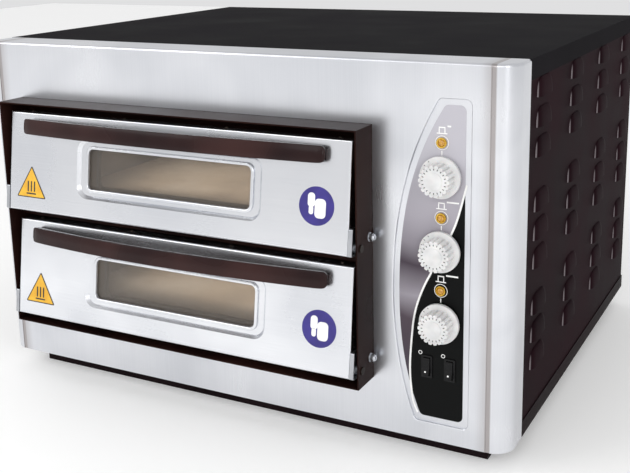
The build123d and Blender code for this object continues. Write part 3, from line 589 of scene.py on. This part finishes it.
for finish, names in (
        (FRONT_STEEL, ["front_fascia"]),
        (COVER_BLACK, ["top_cover"]),
        (POWDER_BLACK, ["rear_panel", "base_plinth", "base_pan"]),
        (ENAMEL_BLACK, ["door_frame"]),
        (FILM, ["control_film"]),
        (BLACK_PLASTIC, ["cable_gland", "switch_housings", "rocker_left", "rocker_right"]),
        (WOOL, ["insulation_blankets"]),
        (WHITE_CERAMIC, ["oven_lamp_holders", "terminal_block"]),
        (GLASS, ["oven_lamp_domes"]),
        (PLAIN_STEEL, ["hinge_plates"]),
        (ZINC, ["stop_bolts", "casing_screws"] + ["shaft_" + dial for dial in DIALS]),
        (SHEATH, ["hinge_pins"] + ["heater_bank_" + dial for dial in DIALS]),
        (CASE_GREY, ["thermostat_" + dial for dial in DIALS])):
    finish_nodes(finish, names)
for deck in DECKS:
    door = deck + "_door_"
    for finish, names in (
            (CHAMBER_STEEL, ["chamber_" + deck, "mouth_collar_" + deck, door + "inner_pan"]),
            (CLAY, ["stone_" + deck]),
            (DOOR_STEEL, [door + "skin"]),
            (GLASS, [door + "glass"]),
            (BAKELITE, [door + "handle_feet"]),
            (PLAIN_STEEL, [door + "cheeks"]),
            (FIBRE, [door + "gasket"]),
            (SHEATH, [door + "screws"])):
        finish_nodes(finish, names)
print("parts in the frame", len(NODES))

# %% [markdown]
# ## Where each door stands
# The doors lean back at the top. It is easier to model a door's pieces as if the door
# stood upright with the middle of its foot at the origin, and to lean them into place
# afterwards. The hinge in the frame tells where that foot is.

# %% Lean a piece into its door
LEAN = math.radians(8.3)
PIVOT_BACK, PIVOT_UP = 20 * MM, 10 * MM
DOOR_FOOT = {}
for joint in frame["joints"]:
    if joint["name"].endswith("door_hinge"):
        x, y, z = joint["pos_m"]
        y -= PIVOT_BACK * math.cos(LEAN) + PIVOT_UP * math.sin(LEAN)
        z -= PIVOT_UP * math.cos(LEAN) - PIVOT_BACK * math.sin(LEAN)
        DOOR_FOOT[joint["child"].split("_")[0]] = Vector((x, y, z))
print("door feet", DOOR_FOOT)


def hang_on_door(deck):
    """Leans the active object, drawn on an upright door, into the door's real place."""
    leave_edit()
    piece = bpy.context.object
    piece.rotation_euler = (-LEAN, 0, 0)
    piece.location = DOOR_FOOT[deck]
    freeze()

# %% [markdown]
# ## Door handles
# Each handle is a moulded bar that bows away from the door, so that fingers fit behind
# it. It could be swept along an arc, but a box is quicker: its corners are rounded, it is
# sliced across so that it can bend, and a Simple Deform modifier gives the bow. The last
# slices at each end are pushed back a little more each time, which rounds the tips.

# %% Measures of a handle
HANDLE_W, HANDLE_H, HANDLE_T, HANDLE_BOW = 534 * MM, 24 * MM, 9 * MM, 27 * MM
HANDLE_MID, HANDLE_GAP = 136 * MM, 4 * MM
SLICES = 32
END_CUTS = (4, 8, 12)
END_STEPS = ((14, 0.3), (10, 0.6), (6, 1.0), (2, 1.4))
bow_radius = ((HANDLE_W / 2) ** 2 + HANDLE_BOW ** 2) / (2 * HANDLE_BOW)
bow_angle = 2 * math.asin(HANDLE_W / 2 / bow_radius)
print("bow radius", round(bow_radius, 3), "angle", round(math.degrees(bow_angle), 1))

# %% Model the handles
def is_front(at):
    """True for a point on the bar's outer face, further out than the bow's middle line."""
    middle = bow_radius - math.sqrt(bow_radius ** 2 - at.x ** 2)
    return at.y < middle - 1 * MM


def bow_bar():
    """A flat bar with rounded corners, bent to the bow. Returns it and its points' y."""
    bpy.ops.mesh.primitive_cube_add(
        size=1, location=(0, 0, 0), scale=(bow_radius * bow_angle, HANDLE_T, HANDLE_H))
    bar = freeze()
    pick(bar, runs_deep, "EDGE")
    bpy.ops.mesh.bevel(offset=7 * MM, segments=6, affect="EDGES")
    end = bow_radius * bow_angle / 2
    cuts = [(step / SLICES - 0.5) * HANDLE_W for step in range(1, SLICES)]
    cuts += [side * (end - inset * MM) for side in (-1, 1) for inset in END_CUTS]
    for cut in cuts:
        bpy.ops.mesh.select_all(action="SELECT")
        bpy.ops.mesh.bisect(plane_co=(cut, 0, 0), plane_no=(1, 0, 0))
    leave_edit()
    bend = bar.modifiers.new("bow", "SIMPLE_DEFORM")
    bend.deform_method, bend.deform_axis, bend.angle = "BEND", "Z", bow_angle
    bpy.ops.object.modifier_apply(modifier=bend.name)
    return bar, min(v.co.y for v in bar.data.vertices)


def model_handle(deck):
    """Models a door's handle, rounds its tips and hangs it on the door."""
    deselect_all()
    bar, nearest = bow_bar()
    for inset, push in END_STEPS:
        start = HANDLE_W / 2 - inset * MM
        pick(bar, lambda at: abs(at.x) > start, "VERT")
        bpy.ops.transform.resize(value=(1, 1, 0.99), center_override=(0, 0, 0))
        for end in (-1, 1):
            pick(bar, lambda at: at.x * end > start and is_front(at), "VERT")
            bpy.ops.transform.translate(value=(0, push * MM, 0))
    bevel_rim(1.6 * MM, 3)
    bar.location = (0, -HANDLE_GAP - HANDLE_BOW - HANDLE_T - nearest, HANDLE_MID)
    freeze()
    hang_on_door(deck)
    finish_piece(deck + "_door_bar", deck + "_door", BAKELITE,
                 [deck + "_door_handle"])


for deck in DECKS:
    model_handle(deck)

# %% [markdown]
# ## Side panels
# A press pushes each louvre out of the sheet as a D-shaped hood that is open below, so
# that warm air leaves and drips stay out. The hood is modelled once: a sphere is
# stretched, squared off along its length, cut to the quarter that stands out, and given
# its thickness. It is copied for every place, and a Boolean opens the sheet behind each.

# %% Measures of the louvres
HOOD_LONG, HOOD_TALL, HOOD_OUT = 68 * MM, 27 * MM, 6 * MM
HOOD_SQUARE, HOOD_DOME = 0.45, 0.75
HOOD_GROUPS, HOODS_IN_GROUP, HOOD_PITCH = (88.0, 238.5, 398.0), 3, 41.3
FIRST_COLUMN, COLUMN_PITCH, COLUMNS = 131.0, 181.0, 4
HOOD_ROWS = [low + HOOD_PITCH * row for low in HOOD_GROUPS for row in range(HOODS_IN_GROUP)]
HOOD_COLUMNS = [FIRST_COLUMN + COLUMN_PITCH * column for column in range(COLUMNS)]
SHEET_T, FLANGE, FLANGE_MID = 1.5 * MM, 18.5 * MM, 9.2 * MM
print("louvres on a side", len(HOOD_ROWS) * len(HOOD_COLUMNS))

# %% One hood and its copies
def model_hood():
    """One hood, its opening at the origin and facing down."""
    bpy.ops.mesh.primitive_uv_sphere_add(
        segments=28, ring_count=14, radius=1,
        scale=(HOOD_OUT - 0.2 * MM, HOOD_LONG / 2, HOOD_TALL))
    hood = freeze()
    for vertex in hood.data.vertices:
        y, z = vertex.co.y / (HOOD_LONG / 2), vertex.co.z / HOOD_TALL
        vertex.co.y = math.copysign(abs(y) ** HOOD_SQUARE, y) * HOOD_LONG / 2
        vertex.co.z = math.copysign(abs(z) ** HOOD_DOME, z) * HOOD_TALL
    pick(hood, lambda at, facing: True)
    for away in ((0, 0, 1), (1, 0, 0)):
        bpy.ops.mesh.select_all(action="SELECT")
        bpy.ops.mesh.bisect(plane_co=(0, 0, 0), plane_no=away, clear_inner=True)
    leave_edit()
    wall = hood.modifiers.new("wall", "SOLIDIFY")
    wall.thickness, wall.offset = 1.0 * MM, -1
    bpy.ops.object.modifier_apply(modifier=wall.name)
    return hood


def copy_to(original, spots):
    """Copies of a piece, each with its own mesh, at the spots."""
    copies = []
    for spot in spots:
        copy = original.copy()
        copy.data = original.data.copy()
        bpy.context.collection.objects.link(copy)
        copy.location = spot
        copies.append(copy)
    return copies


def block(at, size):
    """A block of this size, its middle at the place given."""
    bpy.ops.mesh.primitive_cube_add(size=1, location=at, scale=size)
    return bpy.context.object

# %% The sheet, its openings and its folded edges
def open_sheet(panel, spots):
    """Cuts an opening through the sheet behind each hood."""
    cutters = [block((x, y, z + 8 * MM), (6 * MM, HOOD_LONG - 12 * MM, 15 * MM))
               for x, y, z in spots]
    join_all(cutters)
    cutter = freeze()
    opening = panel.modifiers.new("openings", "BOOLEAN")
    opening.object, opening.operation, opening.solver = cutter, "DIFFERENCE", "EXACT"
    deselect_all()
    bpy.context.view_layer.objects.active = panel
    panel.select_set(True)
    bpy.ops.object.modifier_apply(modifier=opening.name)
    bpy.data.objects.remove(cutter)


def model_side(side, sign):
    """Models a louvred side panel. It is drawn on the right, and mirrored for the left."""
    low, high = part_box("side_panel_" + side)
    face = (high.x if sign > 0 else -low.x) - HOOD_OUT
    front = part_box("front_fascia")[0].y
    depth, tall = high.y - low.y, high.z - low.z
    middle_y, middle_z = (low.y + high.y) / 2, (low.z + high.z) / 2
    spots = [(face, front + y * MM, CASING_FOOT + z * MM)
             for y in HOOD_COLUMNS for z in HOOD_ROWS]
    deselect_all()
    hood = model_hood()
    hoods = copy_to(hood, spots)
    bpy.data.objects.remove(hood)
    deselect_all()
    block((face - SHEET_T / 2, middle_y, middle_z), (SHEET_T, depth, tall))
    panel = freeze()
    open_sheet(panel, spots)
    flanges = [block((face - SHEET_T - FLANGE_MID, y, middle_z), (FLANGE, SHEET_T, tall))
               for y in (low.y + SHEET_T / 2, high.y - SHEET_T / 2)]
    join_all(hoods + flanges + [panel], panel)
    if sign < 0:
        panel.scale = (-1, 1, 1)
        freeze()
        pick(panel, lambda at, facing: True)
        bpy.ops.mesh.flip_normals()
    finish_piece("louvred_side_" + side, "cabinet", SIDE_BLACK,
                 ["side_panel_" + side], 40)


model_side("right", 1)
model_side("left", -1)

# %% [markdown]
# ## Window trims
# A rolled steel lip holds each outer pane in the pressed surround. A block with rounded
# corners is inset on both faces, opened, bridged into a ring and then rounded. A Boolean
# would also open it, but the bridge leaves clean loops that round evenly.

# %% Model the window trims
TRIM_SIZE, TRIM_AT = (302 * MM, 3.4 * MM, 72 * MM), (0, 3.35 * MM, 77.5 * MM)
TRIM_CORNER, TRIM_LIP = 13 * MM, 5 * MM


def model_trim(deck):
    """Models the steel lip round a door's window."""
    deselect_all()
    block(TRIM_AT, TRIM_SIZE)
    trim = freeze()
    pick(trim, runs_deep, "EDGE")
    bpy.ops.mesh.bevel(offset=TRIM_CORNER, segments=10, affect="EDGES")
    pick(trim, lambda at, facing: abs(facing.y) > 0.9)
    bpy.ops.mesh.inset(thickness=TRIM_LIP)
    bpy.ops.mesh.delete(type="FACE")
    bpy.ops.mesh.select_all(action="DESELECT")
    bpy.ops.mesh.select_mode(type="EDGE")
    bpy.ops.mesh.select_non_manifold()
    bpy.ops.mesh.bridge_edge_loops()
    bpy.ops.mesh.select_all(action="SELECT")
    bpy.ops.mesh.normals_make_consistent(inside=False)
    bevel_rim(1.6 * MM, 4)
    hang_on_door(deck)
    finish_piece(deck + "_window_trim", deck + "_door", DOOR_STEEL)


for deck in DECKS:
    model_trim(deck)

# %% [markdown]
# ## Dials
# A dial is one moulding: a flat skirt that carries the scale and a toothed grip for the
# fingers. A cylinder with four sides to a tooth is inset and pulled forward, and one of
# every four edges round the grip is drawn in, which leaves a ring of teeth. The face is
# dished with two more insets.

# %% Measures of a dial
SKIRT_R, SKIRT_T, GRIP_R, TEETH = 28.5 * MM, 5.5 * MM, 21.6 * MM, 18
GRIP_RIM, DISH, HUB_IN, HUB = 3.2 * MM, 0.9 * MM, 7.0 * MM, 0.8 * MM
TOOTH_DEPTH, GROOVE_SHARE = 0.86, 0.13


def push(forward):
    """Extrudes what is selected and moves it along the oven's depth."""
    bpy.ops.mesh.extrude_region_move(TRANSFORM_OT_translate={"value": (0, forward, 0)})


def in_groove(at):
    """True for a point in a groove between two teeth of the grip."""
    share = (math.atan2(at.x, at.z) * TEETH / (2 * math.pi)) % 1.0
    on_grip = abs(math.hypot(at.x, at.z) - GRIP_R) < 0.7 * MM
    in_gap = share < GROOVE_SHARE or share > 1 - GROOVE_SHARE
    return on_grip and in_gap and at.y < -SKIRT_T + 0.1 * MM

# %% Model the dials
def dial_middle(name):
    """The dial's axis, as its x and z at no depth, and its front and back."""
    low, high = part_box("knob_" + name)
    return Vector(((low.x + high.x) / 2, 0, (low.z + high.z) / 2)), low.y, high.y


def model_dial(name):
    """Models a dial's skirt, grip, teeth and dished face."""
    middle, front, back = dial_middle(name)
    deselect_all()
    bpy.ops.mesh.primitive_cylinder_add(
        vertices=TEETH * 4, radius=SKIRT_R, depth=SKIRT_T,
        location=(0, -SKIRT_T / 2, 0), rotation=(math.pi / 2, 0, 0))
    dial = freeze()
    pick(dial, faces_front)
    bpy.ops.mesh.inset(thickness=SKIRT_R - GRIP_R)
    push(front - back + SKIRT_T)
    bpy.ops.mesh.inset(thickness=GRIP_RIM)
    push(DISH)
    bpy.ops.mesh.inset(thickness=HUB_IN)
    push(-HUB)
    pick(dial, in_groove, "VERT")
    bpy.ops.transform.resize(value=(TOOTH_DEPTH, 1, TOOTH_DEPTH), center_override=(0, 0, 0))
    bevel_rim(0.5 * MM, 2, 28)
    dial.location = middle + Vector((0, back, 0))
    finish_piece("dial_" + name + "_moulding", "dial_" + name, IVORY,
                 ["knob_" + name], 30)

# %% Marks on the dials
FACE_SHADE_MARKS, SCALE_MARKS = 20, range(11, 19)
FACE_SHADE_R, SCALE_R = 16.2 * MM, 26.0 * MM


def model_dial_marks(name):
    """Dark bars round the grip's face, painted shade for the shadows between the teeth, and
    printed bars along the left of the skirt.
    """
    middle, front, back = dial_middle(name)
    made = []
    for step in range(FACE_SHADE_MARKS):
        turn = 2 * math.pi * step / FACE_SHADE_MARKS
        # The face bars are painted shade between the teeth; the skirt bars are print.
        rings = [(FACE_SHADE_R, (1.1 * MM, 2.3 * MM), front + DISH)]
        if step in SCALE_MARKS:
            rings.append((SCALE_R, (0.8 * MM, 2.0 * MM), back - SKIRT_T))
        for radius, (wide, tall), depth in rings:
            out = Vector((math.sin(turn) * radius, depth - 0.05 * MM, math.cos(turn) * radius))
            deselect_all()
            bpy.ops.mesh.primitive_cube_add(
                size=1, location=middle + out, rotation=(0, turn, 0),
                scale=(wide, 0.12 * MM, tall))
            made.append(bpy.context.object)
    join_all(made)
    finish_piece("dial_" + name + "_marks", "dial_" + name, DARK_PRINT_AND_SHADE)


for name in DIALS:
    model_dial(name)
    model_dial_marks(name)

# %% [markdown]
# ## Indicator lamps
# A gilt metal rim clips round an amber lens with a domed front. Both start as one
# cylinder each. The rim is inset and pushed in to make a seat, and the lens is inset
# three times and pushed out a little less each time, which draws its dome.

# %% Model the lamps
LAMP_R, LAMP_T, LENS_R, LAMP_ABOVE_DIAL = 7.2 * MM, 3 * MM, 4.9 * MM, 46 * MM
LENS_DOME = ((0.8, 0.8), (1.1, 0.6), (1.2, 0.25))
LAMP_AT = []
for name in DIALS:
    middle, front, back = dial_middle(name)
    LAMP_AT.append(Vector((middle.x, PANEL_LOW.y, middle.z + LAMP_ABOVE_DIAL)))


def disc(vertices, radius, depth, middle_y):
    """A round block that faces the front, with its axis through the origin."""
    deselect_all()
    bpy.ops.mesh.primitive_cylinder_add(
        vertices=vertices, radius=radius, depth=depth,
        location=(0, middle_y, 0), rotation=(math.pi / 2, 0, 0))
    return freeze()


def model_lamp(name, at):
    """Models a lamp's rim and its domed lens."""
    rim = disc(48, LAMP_R, LAMP_T, -LAMP_T / 2)
    pick(rim, faces_front)
    bpy.ops.mesh.inset(thickness=2.2 * MM)
    push(1.6 * MM)
    bevel_rim(0.5 * MM, 3)
    rim.location = at
    finish_piece("lamp_rim_" + name, "cabinet", GILT,
                 ["indicator_lamps"] if name == "top" else [])
    lens = disc(32, LENS_R, 1.6 * MM, -2.2 * MM)
    pick(lens, faces_front)
    for inset, out in LENS_DOME:
        bpy.ops.mesh.inset(thickness=inset * MM)
        bpy.ops.transform.translate(value=(0, -out * MM, 0))
    leave_edit()
    lens.location = at
    finish_piece("lamp_lens_" + name, "cabinet", AMBER, angle=60)


for name, at in zip(DIALS, LAMP_AT):
    model_lamp(name, at)

# %% [markdown]
# ## Print on the panel
# The small marks are screen print, a thin raised layer of ink. They are plain bars and
# rings with no lettering. They are modelled as real layers and not painted by a node,
# so that their edges stay sharp close up.

# %% Bars and rings
PRINT_Y, INK = PANEL_LOW.y - 0.06 * MM, 0.14


def print_bar(x, z, width, height):
    """A bar of ink; its place is in metres and its size in millimetres."""
    deselect_all()
    block((x, PRINT_Y, z), (width * MM, INK * MM, height * MM))
    return freeze()


def print_ring(x, z, radius, width):
    """A ring of ink: a torus pressed almost flat."""
    deselect_all()
    bpy.ops.mesh.primitive_torus_add(
        major_radius=radius * MM, minor_radius=width * MM / 2,
        major_segments=48, minor_segments=6, rotation=(math.pi / 2, 0, 0))
    made = freeze()
    made.scale = (1, INK, 1)
    made.location = (x, PRINT_Y, z)
    return freeze()

# %% Marks by the lamps and the rockers
# Each bar is its shift right and up from the lamp, its width and its height, in mm.
LAMP_BARS = ((0, -14, 1.4, 6), (0, 12.5, 15, 1.3), (-4, 16.5, 1.3, 7), (4, 16.5, 1.3, 7),
             (0, 20.5, 9.3, 1.6))
CAPTION_LONG = (5, 17, 17)
marks = []
for at in LAMP_AT:
    marks.append(print_ring(at.x, at.z, 9.2, 0.9))
    for right_by, up_by, wide, tall in LAMP_BARS:
        marks.append(print_bar(at.x + right_by * MM, at.z + up_by * MM, wide, tall))
for at, long in zip(LAMP_AT, CAPTION_LONG):
    marks.append(print_bar(at.x + (7.5 + long / 2) * MM, at.z + 22.5 * MM, long, 2.2))
for side in ("left", "right"):
    low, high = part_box("rocker_" + side)
    marks.append(print_ring((low.x + high.x) / 2 - 10 * MM, high.z + 6 * MM, 2.4, 1.0))
join_all(marks)
finish_piece("panel_marks", "cabinet", WHITE_PRINT)

# %% [markdown]
# ## The white line
# The line follows the film's black border. It is drawn as a smooth path with a round
# section, turned into a mesh, and pressed flat like the other ink.

# %% Draw the white line
LINE = [(385.2, 375.0)] + SWING[:-2] + [(311.5, 48.0), (317.0, 37.6)]
deselect_all()
bpy.ops.curve.primitive_nurbs_path_add(location=(0, 0, 0))
line = bpy.context.object
path = line.data.splines[0]
path.points.add(len(LINE) - len(path.points))
for point, (x, z) in zip(path.points, LINE):
    point.co = (x * MM, 0, z * MM + CASING_FOOT, 1)
path.order_u, path.use_endpoint_u = 3, True
line.data.bevel_depth, line.data.bevel_resolution = 1.6 * MM, 1
line.data.use_fill_caps = True
bpy.ops.object.convert(target="MESH")
line = bpy.context.object
line.scale = (1, 0.05, 1)
line.location = (0, PRINT_Y, 0)
finish_piece("panel_white_line", "cabinet", WHITE_PRINT)

# %% [markdown]
# ## Door labels
# Two vinyl labels sit low on each door. Both carry plain shapes only: three bars on the
# yellow triangle and two rounded pads on the blue disc. They are drawn on the upright
# door and leaned with it. A label is a thin slab, because vinyl has an edge that shows.

# %% Triangle label
TRIANGLE_X, TRIANGLE_FOOT, TRIANGLE_W, TRIANGLE_H = -258, 22, 60, 51
FOIL_T, BORDER = 0.3 * MM, 1.7 * MM


def triangle_slab():
    """A thin triangle with rounded corners; its front has an inset field."""
    bpy.ops.mesh.primitive_circle_add(
        vertices=3, radius=34.0 * MM, fill_type="NGON", location=(0, 0, 0),
        rotation=(math.pi / 2, 0, 0))
    label = freeze()
    heights = [v.co.z for v in label.data.vertices]
    wide = max(v.co.x for v in label.data.vertices) * 2
    label.scale = (TRIANGLE_W * MM / wide, 1, TRIANGLE_H * MM / (max(heights) - min(heights)))
    freeze()
    pick(label, lambda at: True, "VERT")
    bpy.ops.mesh.bevel(offset=3 * MM, segments=4, affect="VERTICES")
    bpy.ops.mesh.select_all(action="SELECT")
    bpy.ops.mesh.select_mode(type="FACE")
    push(FOIL_T)
    bpy.ops.mesh.select_all(action="SELECT")
    bpy.ops.mesh.normals_make_consistent(inside=False)
    pick(label, faces_front)
    bpy.ops.mesh.inset(thickness=BORDER)
    leave_edit()
    return label


def model_triangle(deck):
    """Models the triangle label: a dark border round a yellow field."""
    deselect_all()
    label = triangle_slab()
    bottom = min(v.co.z for v in label.data.vertices)
    label.location = (TRIANGLE_X * MM, -FOIL_T, TRIANGLE_FOOT * MM - bottom)
    freeze()
    hang_on_door(deck)
    piece = finish_piece(deck + "_triangle_label", deck + "_door", DARK_PRINT_AND_SHADE,
                         [deck + "_door_triangle_label"])
    piece.data.materials.append(YELLOW_FOIL)
    fronts = [face for face in piece.data.polygons if face.normal.y < 0]
    max(fronts, key=lambda face: face.area).material_index = 1

# %% Pads of ink, and the triangle's bars
def pad(x, z, wide, tall, corner):
    """A thin rounded pad of ink on the upright door, in millimetres."""
    deselect_all()
    block((x * MM, -0.45 * MM, z * MM), (wide * MM, 0.2 * MM, tall * MM))
    made = freeze()
    pick(made, runs_deep, "EDGE")
    bpy.ops.mesh.bevel(offset=corner * MM, segments=5, affect="EDGES")
    leave_edit()
    return made


def print_on_door(deck, name, shapes, finish):
    """Makes pads from rows of numbers and joins them into one print on a door."""
    join_all([pad(*shape) for shape in shapes])
    hang_on_door(deck)
    finish_piece(deck + name, deck + "_door", finish)


TRIANGLE_BARS = [(TRIANGLE_X + shift, 40, 2.4, 17, 1.1) for shift in (-6.5, 0, 6.5)]
TRIANGLE_BARS.append((TRIANGLE_X, 28.5, 20, 2.2, 1.0))
for deck in DECKS:
    model_triangle(deck)
    print_on_door(deck, "_triangle_bars", TRIANGLE_BARS, DARK_PRINT_AND_SHADE)

# %% Round label
DISC_X, DISC_Z, DISC_R = 254 * MM, 64 * MM, 27 * MM
DISC_PADS = ((260, 61, 17, 27, 6.0), (246, 72, 11, 20, 5.0), (246, 58, 7, 12, 3.2))


def model_round_label(deck):
    """Models the blue disc, whose edge is rolled back a little."""
    deselect_all()
    bpy.ops.mesh.primitive_cylinder_add(
        vertices=72, radius=DISC_R, depth=FOIL_T,
        location=(DISC_X, -FOIL_T / 2, DISC_Z), rotation=(math.pi / 2, 0, 0))
    label = freeze()
    pick(label, faces_front)
    bpy.ops.mesh.inset(thickness=1.2 * MM)
    bpy.ops.transform.translate(value=(0, -0.05 * MM, 0))
    hang_on_door(deck)
    finish_piece(deck + "_round_label", deck + "_door", BLUE_FOIL,
                 [deck + "_door_round_label"])


for deck in DECKS:
    model_round_label(deck)
    print_on_door(deck, "_round_pads", DISC_PADS, WHITE_PRINT)

# %% [markdown]
# ## Rocker marks
# Each rocker carries one white dot near its lower end, printed on the plastic. The dot
# rides on the rocker's body, so it tilts with it.

# %% White dots on the rockers
for side in ("left", "right"):
    low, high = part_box("rocker_" + side)
    dot_z = low.z + 5.5 * MM
    near = [v.co.y for v in NODES["rocker_" + side].data.vertices
            if abs(v.co.z - dot_z) < 8 * MM]
    deselect_all()
    bpy.ops.mesh.primitive_cylinder_add(
        vertices=20, radius=1.3 * MM, depth=0.3 * MM,
        location=((low.x + high.x) / 2, min(near) + 0.1 * MM, dot_z),
        rotation=(math.pi / 2, 0, 0))
    dot = freeze()
    pick(dot, faces_front)
    bpy.ops.mesh.inset(thickness=0.4 * MM)
    finish_piece("rocker_dot_" + side, "switch_" + side, WHITE_PRINT)

# %% [markdown]
# ## Floor and light
# A pale floor and broad soft lamps, as in a plain studio. A weak glow on the floor keeps
# the shadows light. A warm lamp in each chamber shows the baking stone through the
# window.

# %% Floor
deselect_all()
bpy.ops.mesh.primitive_plane_add(size=14, location=(0, 0, CAD_BOX[0].z - 0.0005))
floor = bpy.context.object
floor.name = "studio_floor"
FLOOR, floor_shader, place = start_finish("pale_studio_floor", {
    "Roughness": 0.7, "Base Color": colour("F6F6F5"),
    "Emission Color": colour("FFFFFF"), "Emission Strength": 0.17})
floor.data.materials.append(FLOOR)

# %% Lamps
def soft_box(name, at, aim, size, power):
    """A rectangular lamp that looks at a point."""
    deselect_all()
    bpy.ops.object.light_add(type="AREA", location=at)
    lamp = bpy.context.object
    lamp.name = name
    lamp.rotation_euler = (Vector(aim) - Vector(at)).to_track_quat("-Z", "Y").to_euler()
    lamp.data.shape, lamp.data.size, lamp.data.size_y = "RECTANGLE", *size
    lamp.data.energy = power
    return lamp


soft_box("key_left", (-2.4, -2.6, 2.2), (0, 0, 0.3), (2.4, 2.4), 40)
soft_box("front_fill", (0.6, -3.2, 1.6), (0, 0, 0.3), (2.2, 1.4), 18)
soft_box("right_rim", (2.2, -1.9, 1.3), (0.45, 0, 0.3), (0.3, 1.6), 12)
for deck in DECKS:
    low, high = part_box("chamber_" + deck)
    middle = (low + high) / 2
    glow = soft_box("oven_glow_" + deck, (middle.x, middle.y - 0.05, high.z - 0.02),
                    (middle.x, middle.y, low.z), (0.4, 0.36), 0.55)
    glow.data.color = colour("FFF0E0")[:3]
    glow.visible_camera = False

# %% Air
world = bpy.data.worlds.new("studio_air")
world.use_nodes = True
air = world.node_tree.nodes["Background"].inputs
air["Color"].default_value = colour("F7F7F8")
air["Strength"].default_value = 0.8
bpy.context.scene.world = world
bpy.context.scene.view_settings.view_transform = "Standard"
